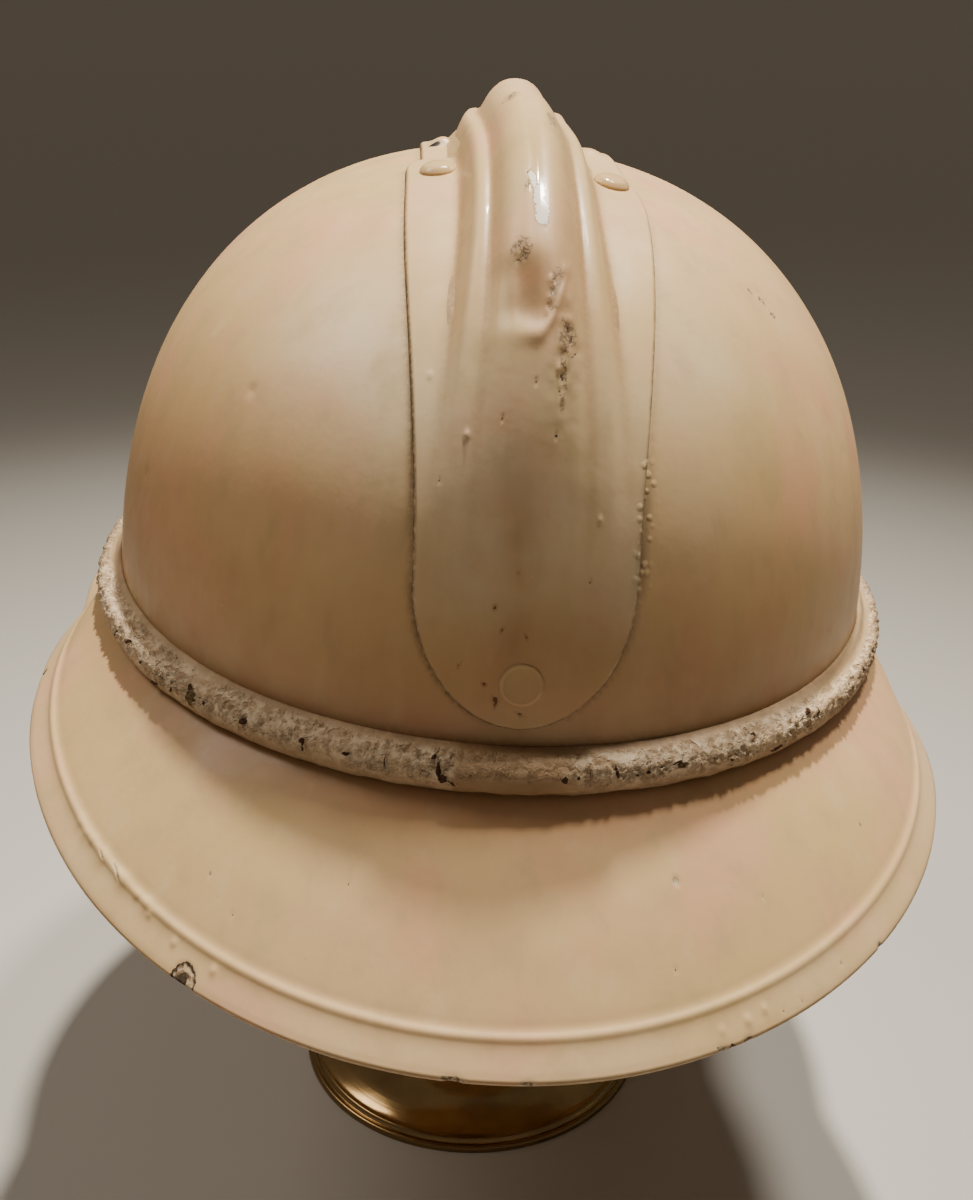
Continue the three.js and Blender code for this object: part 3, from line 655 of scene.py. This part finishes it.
def add_piece(name, grid, node_name, slot, fields, hidden=UNMARKED, face=None,
              loop=False, poles=None, on_stand=False, flipped=False):
    """A closed mesh through a grid of points whose columns close on themselves, standing for a CAD node.
    Its rows run round too, or end in poles, or in flat caps. The fields are kept on the points of its
    face, which is the grid's first rows and columns, and the other points have the hidden values.
    A flipped piece is one whose faces would point in."""
    rows, columns = grid.shape[:2]
    points = grid.reshape(-1, 3)
    index = np.arange(rows * columns).reshape(rows, columns)
    last = rows if loop else rows - 1
    here, next_row = index[:last], np.roll(index, -1, 0)[:last]
    quads = np.stack([here, np.roll(here, -1, 1), np.roll(next_row, -1, 1), next_row], -1).reshape(-1, 4)
    faces = quads.tolist()
    if poles is not None:
        points = np.concatenate([points, poles])
        first, end = rows * columns, rows * columns + 1
        faces += [(first, (j + 1) % columns, j) for j in range(columns)]
        faces += [(end, int(index[-1, j]), int(index[-1, (j + 1) % columns])) for j in range(columns)]
    elif not loop:
        faces += [index[0, ::-1].tolist(), index[-1].tolist()]
    data = bpy.data.meshes.new(name)
    data.from_pydata((points * MM if on_stand else seated(points)).tolist(), [], faces)
    if flipped:
        data.flip_normals()
    face_rows, face_columns = face or (rows, columns)
    for field, values in {**UNMARKED, **fields}.items():
        whole = np.full((rows, columns), hidden.get(field, 0.0))
        whole[:face_rows, :face_columns] = values
        whole = np.append(whole, np.zeros(len(points) - whole.size))
        attribute = data.attributes.new(field, "FLOAT", "POINT")
        attribute.data.foreach_set("value", whole.astype(np.float32))
    data.shade_smooth()
    data.materials.append(LOOKS[slot])
    made = new_object(name, data)
    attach(made, "root")
    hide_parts(node_name)


# -------- crown

def plan_point(angle, outset, height, share=1):
    """A point round the crown's base: outset from it, on an ellipse cut down to a share of its size."""
    angle, outset, height, share = np.broadcast_arrays(angle, outset, height, share)
    length = np.where(np.sin(angle) > 0, CROWN_FRONT, CROWN_REAR)
    normal = np.stack([np.cos(angle) / CROWN_SIDE, np.sin(angle) / length], -1)
    normal /= np.linalg.norm(normal, axis=-1, keepdims=True)
    x = share * CROWN_SIDE * np.cos(angle) + outset * normal[..., 0]
    y = share * length * np.sin(angle) + outset * normal[..., 1]
    return np.stack([x, y, height], -1)


# The crown's middle line, from its rear base over the top to its front base
CLIMBS = np.linspace(0, pi, 4001)
MID_SHARE = np.abs(np.cos(CLIMBS)) ** (2 / PLAN_POWER)
MID_Y = np.where(CLIMBS > pi / 2, CROWN_FRONT * MID_SHARE, -CROWN_REAR * MID_SHARE)
MID_Z = CROWN_HEIGHT * np.sin(CLIMBS) ** (2 / RISE_POWER)
MID_ARC = np.concatenate([[0], np.cumsum(np.hypot(np.diff(MID_Y), np.diff(MID_Z)))])
MID_REAR = len(CLIMBS) // 2  # how many of its points are behind the top
TOP_ARC = float(np.interp(0, MID_Y, MID_ARC))
SLOPE_Y, SLOPE_Z = np.gradient(MID_Y, MID_ARC), np.gradient(MID_Z, MID_ARC)
COMB_FRONT_ARC = MID_ARC[-1] - COMB_FRONT_TIP
VENT_LIP_ARC = TOP_ARC + VENT_AHEAD - VENT_HALF_LENGTH
HALVINGS = 36  # of the span in which over_crown looks for the crown's wall


def over_crown(arc, out, height):
    """Points above the crown: an arc along its middle line, a distance to its side and a height."""
    arc, out, height = np.broadcast_arrays(arc, out, height)
    y, z, slope_y, slope_z = [np.interp(arc, MID_ARC, line) for line in (MID_Y, MID_Z, SLOPE_Y, SLOPE_Z)]
    size = np.hypot(slope_y, slope_z)
    normal_y, normal_z = -slope_z / size, slope_y / size
    length = np.where(y > 0, CROWN_FRONT, CROWN_REAR)
    low, high = np.zeros(arc.shape), np.full(arc.shape, CROWN_SIDE)
    for _ in range(HALVINGS):
        middle = (low + high) / 2
        round_share = np.hypot(out / CROWN_SIDE, (y - middle * normal_y) / length) ** PLAN_POWER
        outside = round_share + np.abs((z - middle * normal_z) / CROWN_HEIGHT) ** RISE_POWER > 1
        low, high = np.where(outside, middle, low), np.where(outside, high, middle)
    rise = height - low
    return np.stack([out, y + rise * normal_y, z + rise * normal_z], -1)


def browning_and_shade_at(grid):
    """How browned the paint is, partly as painted shade: most beside the strap and low on the crown, a little
    more on the left, fading out halfway up the crown.
    """
    rows, columns = grid.shape[:2]
    wander = 9 * noise_at(grid[::2, ::2], 34, 2.6).repeat(2, 0).repeat(2, 1)[:rows, :columns]
    left = np.clip(-grid[..., 0] / CROWN_SIDE, 0, 1)
    low = 1 - ease(grid[..., 2] + wander, 8, 60)
    return low * (0.42 + 0.06 * left) + 0.27 * (1 - ease(grid[..., 2], 5, 17))


def crown_rings(angle, count, inset):
    """Rings of points up the crown, inset from its outer face."""
    climb = np.linspace(0, pi / 2, count + 1)[:-1, None]
    share = np.cos(climb) ** (2 / PLAN_POWER)
    height = (CROWN_HEIGHT - inset) * np.sin(climb) ** (2 / RISE_POWER)
    return plan_point(angle, -inset * share, height, share)


def crown():
    angle = around(CROWN_TURNS)
    rim = [plan_point(angle, out, up)[None] for out, up in CROWN_RIM]
    face = crown_rings(angle, CROWN_RINGS, 0)[::-1]
    grid = np.concatenate([face, *rim, crown_rings(angle, CROWN_INNER_RINGS, SHEET)[1:]])
    degrees = np.degrees(angle)[None, :]
    up = face[..., 2]
    chip, pale = marks(degrees, up, CROWN_CHIPS, CROWN_DEGREE)
    clean_and_lit = sum(amount * hump(degrees_from(degrees, place), 0, wide) * hump(up, height, tall)
                for place, height, wide, tall, amount in CROWN_CLEAN_AND_SHEEN)
    lift = uneven(face, (0.16, 42, 0), (0.06, 15, 7.3))
    lift += blisters(degrees, up, CROWN_BLISTERS, CROWN_DEGREE) - 0.2 * ease(chip, -0.1, 0.4)
    grid = raised(grid, lift)
    face = grid[:CROWN_RINGS]
    up = face[..., 2]
    seam, blistered = seam_shade(face)
    # Painted shade on the crown just above the strap, most at the rear and front; a reddish flush low on the
    # left, and reddish painted shade above the strap round the rear
    shade_by_strap = (0.05 + 0.75 * np.abs(np.sin(angle)) ** 3) * (1 - ease(up, 5, 11))
    flush_and_painted_light = 0.5 * hump(degrees, 204, 20) * hump(up, 40, 24)
    flush_and_painted_light = flush_and_painted_light + 0.25 * hump(degrees, 262, 60, 4) * hump(up, 14, 12)
    fields = {"grime_and_shade": np.clip(shade_by_strap + seam, 0, 1), "chip": chip, "pale": pale, "clean_and_lit": clean_and_lit,
              "age_and_shade": browning_and_shade_at(face), "flush_and_painted_light": flush_and_painted_light, "blistered": blistered}
    poles = np.array([[0, 0, CROWN_HEIGHT], [0, 0, CROWN_HEIGHT - SHEET]])
    add_piece("crown_shell", grid, "crown", "helmet_paint", fields, INSIDE, face.shape[:2],
              poles=poles, flipped=True)


def blistered_at(arc, out):
    """How much the paint has bubbled along the comb's right edge."""
    return hump(out - comb_edge(arc, out), 0.4, 1.4) * within(arc, (36, 44), (64, 78))


def seam_shade(grid):
    """Dark grime and painted shade on the crown beside the comb's edge, more on its left and near its rear
    end, and the bubbled paint along its right edge.
    """
    out, y, up = np.moveaxis(grid, -1, 0)
    arc = np.interp(y, MID_Y, MID_ARC)
    arc = np.where((up < 60) & (y < 0), np.interp(up, MID_Z[:MID_REAR], MID_ARC[:MID_REAR]), arc)
    past = np.abs(out) - comb_edge(arc, out)
    beside = (arc > COMB_REAR_TIP) * (arc < COMB_FRONT_ARC) * (np.abs(out) < 32)
    shade = np.where(out < 0, 0.45, 0.25) + 0.3 * (1 - ease(arc, 20, 50)) * (np.abs(out) > 8)
    return shade * hump(past, 0, 1) * beside, blistered_at(arc, out) * beside


# -------- brims

def brim_edge(angle, middle):
    """Overhang and drop of a brim's outer edge, from its sides to its middle."""
    def soften(s):
        return np.hypot(s, SIDE_SOFTNESS) - SIDE_SOFTNESS
    to_middle = soften(np.abs(np.sin(angle))) / soften(1)
    sides = [np.where(np.cos(angle) > 0, right, left) for right, left in zip(RIGHT_EDGE, LEFT_EDGE)]
    powers = (OVERHANG_POWER, sides[2])
    return [side + (most - side) * to_middle ** power for side, most, power in zip(sides, middle, powers)]


def brim_line(overhang, drop):
    """A brim's upper face from its root to its rolled edge, as distance out and height."""
    root = np.array([FLANGE + GAP, -SHEET - GAP])
    down = np.array([cos(BORDER_SLOPE), -sin(BORDER_SLOPE)])
    edge = np.array([overhang, -drop])
    fold = edge - BORDER_WIDTH * down
    run = np.linalg.norm(fold - root)
    apron = (fold - root) / run
    off_apron, off_border = np.array([-apron[1], apron[0]]), np.array([-down[1], down[0]])
    reach = min(1, run / APRON_FULL)
    line = [np.array([GAP, root[1]]), root]
    section = [(share * run, 0) for share in APRON_STEPS] + [(run + past * reach, up) for past, up in RIDGE]
    for along, up in section:
        bulge = APRON_BULGE * reach * sin(min(along / run, 1) * pi)
        line.append(root + along * apron + (up * sqrt(reach) + bulge) * off_apron)
    line += [fold + past * down + up * sqrt(reach) * off_border for past, up in BORDER]
    return line + [edge + step for step in ROLLED_EDGE]


def under_side(upper):
    """The underside of a sheet's section, a sheet's thickness below, from its edge back to its root."""
    along = np.gradient(upper, axis=1)
    along /= np.linalg.norm(along, axis=2, keepdims=True)
    below = upper + SHEET * np.stack([along[..., 1], -along[..., 0]], -1)
    last = int(upper.shape[1] * 0.95)
    return below[:, :last:BRIM_UNDER_STEP][:, ::-1]


def brim(name, node_name, start, middle, rows):
    """A brim through the half circle from the start angle, with its greatest overhang in the middle."""
    clear = GAP / 2 / CROWN_REAR
    angle = start + np.linspace(clear, pi - clear, rows)
    overhang, drop = brim_edge(angle, middle)
    lines = [rounded(brim_line(*edge), False) for edge in zip(overhang, drop)]
    upper = np.array([respaced(line, BRIM_ACROSS, closer=BORDER_WIDTH + 1.5) for line in lines])
    section = np.concatenate([upper, under_side(upper)], 1)
    grid = plan_point(angle[:, None], section[..., 0], section[..., 1])
    face = grid[:, :BRIM_ACROSS]
    degrees, out = np.degrees(angle)[:, None], upper[..., 0]
    chip, pale = marks(degrees, out, BRIM_CHIPS, BRIM_DEGREE)
    oval, _ = marks(degrees, out, [OVAL_CHIP], BRIM_DEGREE)
    bare_middle = ease(oval, 0.14, 0.24) * (1 - ease(oval + 0.35 * noise_at(face, 2.2, 3.3), 0.42, 0.58))
    chip, pale = np.maximum(chip, 4 * oval), np.where(oval > -0.1, bare_middle, pale)
    lift = uneven(face, (0.13, 38, 3.1), (0.05, 13, 9.7))
    lift += blisters(degrees, out, BRIM_LUMPS, BRIM_DEGREE) - 0.22 * ease(chip, -0.1, 0.3)
    past_edge = out - overhang[:, None]
    ahead = np.abs(np.sin(angle))[:, None]
    border = ease(past_edge, -6.5, -4.5)
    # Beside the strap, grime, browning and a reddish flush are painted shade under it, most at each brim's
    # middle; along the border, paler, pinker paint is painted light; the edge itself is grimy
    fields = {"grime_and_shade": 0.1 * hump(out, FLANGE, 2.2) + 0.15 * ease(past_edge, -0.5, 0.1),
              "age_and_shade": (0.04 + 0.4 * ahead) * hump(out, 4, 4) + 0.25 * ease(past_edge, -0.6, 0),
              "flush_and_painted_light": 0.6 * ahead * hump(out, 6, 5) + 0.07 * border,
              "clean_and_lit": 0.06 + 0.34 * border, "chip": chip, "pale": pale}
    add_piece(name, raised(grid, lift), node_name, "helmet_paint", fields,
              UNDER_BRIM, face.shape[:2])


# -------- comb

def comb_half(arc):
    """Half width of the comb without its ears' taper."""
    end = np.where(arc < TOP_ARC, arc - COMB_REAR_TIP, COMB_FRONT_ARC - arc)
    straight = end - COMB_END_ROUND
    wide = COMB_END_HALF + (COMB_TOP_HALF - COMB_END_HALF) * ease(straight, 0, COMB_WIDENS)
    tip = COMB_END_HALF * np.sqrt(np.clip(1 - (straight / COMB_END_ROUND) ** 2, 0, None))
    return np.where(straight > 0, wide, tip)


def comb_edge(arc, side):
    """Half width of the comb's outline, whose right ear tapers in sooner than its left one."""
    full = comb_half(arc)
    neck = np.minimum(full, COMB_NECK_HALF)
    left = np.clip((arc - TOP_ARC - COMB_LEFT_EAR[0]) / COMB_LEFT_EAR[1], 0, 1)
    right = ease(arc - TOP_ARC, COMB_RIGHT_EAR[0], sum(COMB_RIGHT_EAR))
    return neck + (full - neck) * np.where(side < 0, np.sqrt(1 - left ** 2), 1 - right)


def from_end(arc):
    """How far a place on the comb is from its nearer base, as if both ends were the rear one."""
    length = MID_ARC[-1]
    shift = COMB_FRONT_TIP - COMB_REAR_TIP
    ahead = length - arc - shift * ((arc - TOP_ARC) / (length - TOP_ARC))
    return np.where(arc < TOP_ARC, arc, ahead)


def across_crest(arc, out):
    """Distance from the crest's middle, as in its full section, and the share of that section's height."""
    middle = CREST_SHIFT * ease(from_end(arc), *CREST_SHIFTS)
    lift = ease(from_end(arc), CREST_START, CREST_START + CREST_RISE)
    return np.abs(out - middle) / (1 + CREST_WIDENS * (1 - lift)), lift


def vent_rise(out, arc):
    """A vent hump: a lip at its rear, easing down to the front."""
    across = (np.abs(out) - VENT_OUT * COMB_TOP_HALF) / (VENT_HALF_SHARE * COMB_TOP_HALF)
    lip = within(arc - VENT_LIP_ARC, (0, VENT_LIP), (5, 2 * VENT_HALF_LENGTH))
    height = np.where(out < 0, VENT_LEFT_HEIGHT, VENT_RIGHT_HEIGHT)
    return height * lip * np.cos(np.clip(across, -1, 1) * pi / 2) ** 2


def dent_rise(arc, out):
    """The knock in the comb's ridge: a hollow with a lip below it, and crumpled paint beside it."""
    hollow = -1.6 * hump(arc, 99, 6.5, 4) * hump(out, -3.4, 4.8)
    fold = 0.35 * hump(out, -5.2, 1) * hump(arc, 99, 5.5)
    bend = 89.8 + 0.3 * np.clip(out + 0.6, 0, None) ** 2
    lip = 0.58 * hump(arc, bend, 1.7) * hump(out, 0.6, 4.2)
    return hollow + fold + lip


def comb_height(arc, out):
    """Height of the comb's outer face above the crown, and how far in from its rounded edge it is."""
    edge = comb_edge(arc, out)
    away, lift = across_crest(arc, out)
    crest = respaced(rounded(CREST, False, 2), 200)
    ridge = np.interp(away, crest[:, 0], crest[:, 1]) * lift
    slope = np.gradient(edge, axis=0) / np.maximum(np.gradient(arc, axis=0), 1e-6)
    inset = np.clip((edge - np.abs(out)) / np.sqrt(1 + slope ** 2), 0, COMB_EDGE_ROUND) / COMB_EDGE_ROUND
    rim = np.sqrt(np.clip(1 - (1 - inset) ** 2, 0, None))
    return GAP + COMB_SHEET * rim + ridge + vent_rise(out, arc), inset


def comb_arcs():
    """Places of the comb's rows, closer together towards its round ends and behind the vents."""
    even = np.linspace(0, 1, COMB_ROWS)
    share = even * (1 - 2 * COMB_CROWDING) + COMB_CROWDING * (1 - np.cos(pi * even))
    arcs = COMB_REAR_TIP + 0.02 + share * (COMB_FRONT_ARC - COMB_REAR_TIP - 0.04)
    lip = np.linspace(VENT_LIP_ARC - 0.6, VENT_LIP_ARC + 3.3, COMB_LIP_ROWS)
    return np.sort(np.concatenate([arcs, lip]))


def comb():
    arcs = comb_arcs()[:, None]
    even = np.linspace(-1, 1, COMB_ACROSS)
    out = (np.sin(even * pi / 2) * COMB_CROWDING + even * (1 - COMB_CROWDING)) * comb_edge(arcs, even)
    arc = np.broadcast_to(arcs, out.shape)
    height, inset = comb_height(arc, out)
    (chip, pale), (rust, _) = marks(arc, out, COMB_CHIPS), marks(arc, out, COMB_RUST)
    level = over_crown(arc, out, height)
    crumpled = hump(arc, 90, 12) * hump(out, 5.5, 3)
    damage = dent_rise(arc, out) + 0.45 * crumpled * noise_at(level, 2.6, 6.1)
    damage += blisters(arc, out, COMB_BLISTERS) - 0.2 * ease(np.maximum(chip, rust), -0.1, 0.4)
    damage += uneven(level, (0.1, 21, 1.1), (0.05, 7, 5.6)) * inset
    upper = over_crown(arc, out, height + damage)
    back = -np.linspace(-1, 1, COMB_UNDER)[1:-1]
    back = back * comb_edge(arcs, back)
    arc_back = np.broadcast_to(arcs, back.shape)
    inner = np.maximum(GAP, comb_height(arc_back, back)[0] - 2 * COMB_SHEET)
    grid = np.concatenate([upper, over_crown(arc_back, back, inner)], 1)

    away, lift = across_crest(arc, out)
    # Painted shade in the flutes beside the crest
    flute_shade = lift ** 0.45 * (hump(away, 9, 1.1) + 0.9 * hump(away, 15.2, 1.2))
    # A dark line along the comb's rounded edge, darker on the left and at the rear tip: partly a dark seam,
    # partly painted shade
    seam = (1 - inset) * np.where(out < 0, 1, 0.55 + 0.45 * (noise_at(upper, 6, 8.8) > 0))
    tip = 0.5 * (1 - ease(arc, COMB_REAR_TIP, COMB_REAR_TIP + 6)) * (1 - inset)
    wander = noise_at(upper, 12, 2.2)
    streak = (0.8 + 0.5 * wander) * hump(out + 1.6 * wander, -2.4, 3.6) * within(arc, (20, 34), (58, 76))
    flank = hump(out, 6, 3.2) * within(arc, (70, 92), (140, 165))
    # Painted shade in the dent
    dent_shade = hump(arc, 98.5, 5.5, 4) * hump(out, -1.4, 4.2)
    # The vent's opening, painted black as its shade
    vent_hole_shade = 1 - ease(np.hypot((arc - VENT_LIP_ARC - 1.2) / 1.1, (out + 20.6) / 1.7), 0.7, 1)
    # Paler paint low on the comb is painted light that lifts its shade; a little paler up the crest outside
    # the flutes
    clean_and_lit = 0.9 * within(arc, (22, 44), (74, 104)) * (1 - 0.5 * streak)
    clean_and_lit += 0.2 * ease(arc, 80, 110) * (1 - flute_shade)
    fields = {"grime_and_shade": np.clip(seam + 0.22 * flute_shade + tip + 0.22 * crumpled + 0.15 * dent_shade, 0, 1),
              "age_and_shade": browning_and_shade_at(upper) + dent_shade + 0.25 * streak + 0.4 * flute_shade + 0.3 * flank,
              "flush_and_painted_light": 0.2 * streak + 0.45 * hump(arc, 25, 7) * hump(out, -4, 8), "clean_and_lit": clean_and_lit,
              "chip": chip, "pale": pale, "rust": rust, "vent_hole_shade": vent_hole_shade * (out < 0),
              "flake_and_highlight": marks(arc, out, CREST_FLAKES_AND_HIGHLIGHT)[0], "cracked": marks(arc, out, CREST_CRACKS)[0],
              "shiny": hump(out, -0.4, 1.6) * within(arc, (108, 118), (132, 150)),
              "blistered": blistered_at(arc, out)}
    add_piece("comb_pressing", grid, "comb", "helmet_paint", fields, INSIDE, out.shape)


def rivet(name, node_name, form, arc, out):
    """A rivet head on the comb's flange, under its own coat of paint."""
    def on_flange(ahead, aside):
        return over_crown(arc + ahead, out + aside, GAP + COMB_SHEET)
    section = rounded(form["section"], False)
    angle = around(RIVET_TURNS)
    here = on_flange(0, 0)
    ahead, side = on_flange(1, 0) - here, on_flange(0, 1) - here
    up = np.cross(side, ahead)
    up /= np.linalg.norm(up)
    side /= np.linalg.norm(side)
    ahead = np.cross(up, side)
    r, z = section[:, :1, None] * form["radius"], section[:, 1:, None] * form["height"]
    outwards = np.cos(angle)[:, None] * side + np.sin(angle)[:, None] * ahead
    grid = here + r * outwards + z * up
    ends = np.array([here - 0.5 * form["height"] * up, here + section[-1][1] * form["height"] * up])
    # A dark ring round the head's foot, darker to one side: painted shadow
    shade = 0.4 * hump(section[:, :1], 1.12, 0.06) * (0.6 + 0.4 * np.sin(angle))
    fields = {"grime_and_shade": shade, "clean_and_lit": 0.2, "age_and_shade": browning_and_shade_at(grid), "shiny": form["shiny"]}
    add_piece(name, grid, node_name, "helmet_paint", fields, poles=ends)


def rivets():
    arc = TOP_ARC - SIDE_RIVET_BEHIND
    out = SIDE_RIVET_OUT * comb_half(arc)
    rivet("rivet_rear", "comb_rivet_rear", FLAT_RIVET, COMB_REAR_TIP + END_RIVET_INSET, 0)
    rivet("rivet_front", "comb_rivet_front", FLAT_RIVET, COMB_FRONT_ARC - END_RIVET_INSET, 0)
    rivet("rivet_left", "comb_rivet_left", DOME_RIVET, arc + LEFT_RIVET_AHEAD, -out)
    rivet("rivet_right", "comb_rivet_right", DOME_RIVET, arc, out)


# -------- strap

def strap_net(points):
    """Ridges between the cells of crumpled paint: 1 along a ridge, 0 inside a cell."""
    flat = points.reshape(-1, 3)
    flat = flat + 0.7 * np.stack([noise_at(flat, 2, shift) for shift in (0.3, 5.3, 9.3)], -1)
    nearest = np.array([noise.voronoi(p)[0][:2] for p in (flat / STRAP_CELL).tolist()])
    return hump(nearest[:, 1], nearest[:, 0], STRAP_RIDGE_WIDTH).reshape(points.shape[:-1])


def chin_strap():
    angle = around(STRAP_TURNS)[:, None]
    degrees = np.degrees(angle)
    loose, tight = [respaced(rounded(line, True), STRAP_AROUND, closed=True)
                    for line in (STRAP_LOOSE, STRAP_TIGHT)]
    pressed = 1 - ease(np.abs((degrees % 180) - 90), 32, 66)
    out, up = [loose[:, k] + pressed * (tight[:, k] - loose[:, k]) for k in (0, 1)]
    grid = plan_point(angle, out, up)

    # Where the paint is freshest, the bead that stands out, and the worn stretch at the rear
    left = within(degrees, (184, 200), (236, 262))
    rear = within(degrees, (236, 262), (304, 322))
    bead_from = 1.4 + 1.6 * (1 - pressed) * (1 - left) - 0.5 * left
    bead = ease(out, bead_from, bead_from + 1) * ease(up, -0.9, 0.6)
    worn = within(degrees, (262.4, 263.4), (273.8, 278.8))
    plain = worn * (0.45 + 0.55 * (1 - ease(up, 2.6, 3.8)))

    # Wrinkles, waves, chips and the ragged lower edge
    low = 1 - 0.55 * (1 - ease(up, 0.5, 3.6))
    wrinkled = bead * (1 - plain) * low * np.clip(0.8 + 0.5 * noise_at(grid, 9, 8.1), 0, 1)
    ridge = strap_net(grid)
    lift = wrinkled * (0.95 * ridge - 0.34 + 0.2 * noise_at(grid, 1.2, 5.1))
    lift += bead * (0.25 * noise_at(grid, 17, 4.4) - 0.3 * worn) + 0.05 * noise_at(grid, 3, 2.2)
    chip, pale = marks(degrees, up, STRAP_CHIPS, STRAP_DEGREE)
    chip = np.where((bead > 0.1) | (up > 6.3), chip, NO_MARK)
    grid = raised(grid, lift - 0.35 * ease(chip, -0.1, 0.4), loop=True)
    grid[..., 2] += 0.35 * noise_at(grid, 4.5, 3.9) * (1 - ease(up, -0.6, 1.2)) * (out > 3.4)

    # Painted shade under the strap and in its channel by the crown, and darker paint towards its foot in
    # front and behind
    under = 1 - ease(up, -0.9, 0.8)
    inner = (1 - ease(out, 0.4, 2.4)) * ease(up, 3, 6) * (0.1 + 0.6 * pressed * (1 - 0.6 * left))
    foot = pressed * (1 - ease(up, 0.6, 4.2)) * 0.35
    fields = {"grime_and_shade": np.clip(0.55 * under + 0.6 * inner, 0, 1),
              "aged_and_shaded": np.clip(0.6 * inner + foot + 0.4 * worn, 0, 1),
              "fresh": np.clip(0.32 + 0.75 * left + 0.68 * rear * (1 - worn), 0, 1),
              "ridge": ridge * wrinkled, "wrinkled": wrinkled, "chip": chip, "pale": pale}
    add_piece("strap_loop", grid, "chin_strap", "painted_leather", fields, loop=True, flipped=True)


# -------- stand

def turned(name, node_name, profile, base, top=None):
    """A turned piece of the stand. Its upper end is flat unless it rises to a top."""
    line = respaced(rounded(profile, False, 2), STAND_ROWS)
    angle = around(STAND_TURNS)
    radius, height = line[:, :1], line[:, 1:] + base
    grid = np.stack(np.broadcast_arrays(radius * np.cos(angle), radius * np.sin(angle), height), -1)
    ends = (profile[0][1], profile[-1][1] if top is None else top)
    poles = np.array([[0, 0, base + end] for end in ends])
    bend = np.gradient(np.arctan2(np.gradient(line[:, 1]), -np.gradient(line[:, 0])))
    grime_and_shade = np.clip(0.15 + 1.6 * np.clip(-bend, 0, 0.5), 0, 1)[:, None]
    add_piece(name, grid, node_name, "stand_brass", {"grime_and_shade": grime_and_shade}, poles=poles, on_stand=True)


def stand():
    stem_base = FOOT_PROFILE[-1][1] + GAP
    turned("foot_turning", "stand_foot", FOOT_PROFILE, 0)
    turned("stem_turning", "stand_stem", STEM_PROFILE, stem_base)
    turned("cap_turning", "stand_cap", CAP_PROFILE, stem_base + STEM_PROFILE[-1][1] + GAP, CAP_CROWN)


camera()
lights()
floor()
crown()
brim("neck_guard_sheet", "neck_guard", pi, REAR_EDGE, NECK_GUARD_ROWS)
brim("visor_sheet", "visor", 0, FRONT_EDGE, VISOR_ROWS)
comb()
rivets()
chin_strap()
stand()
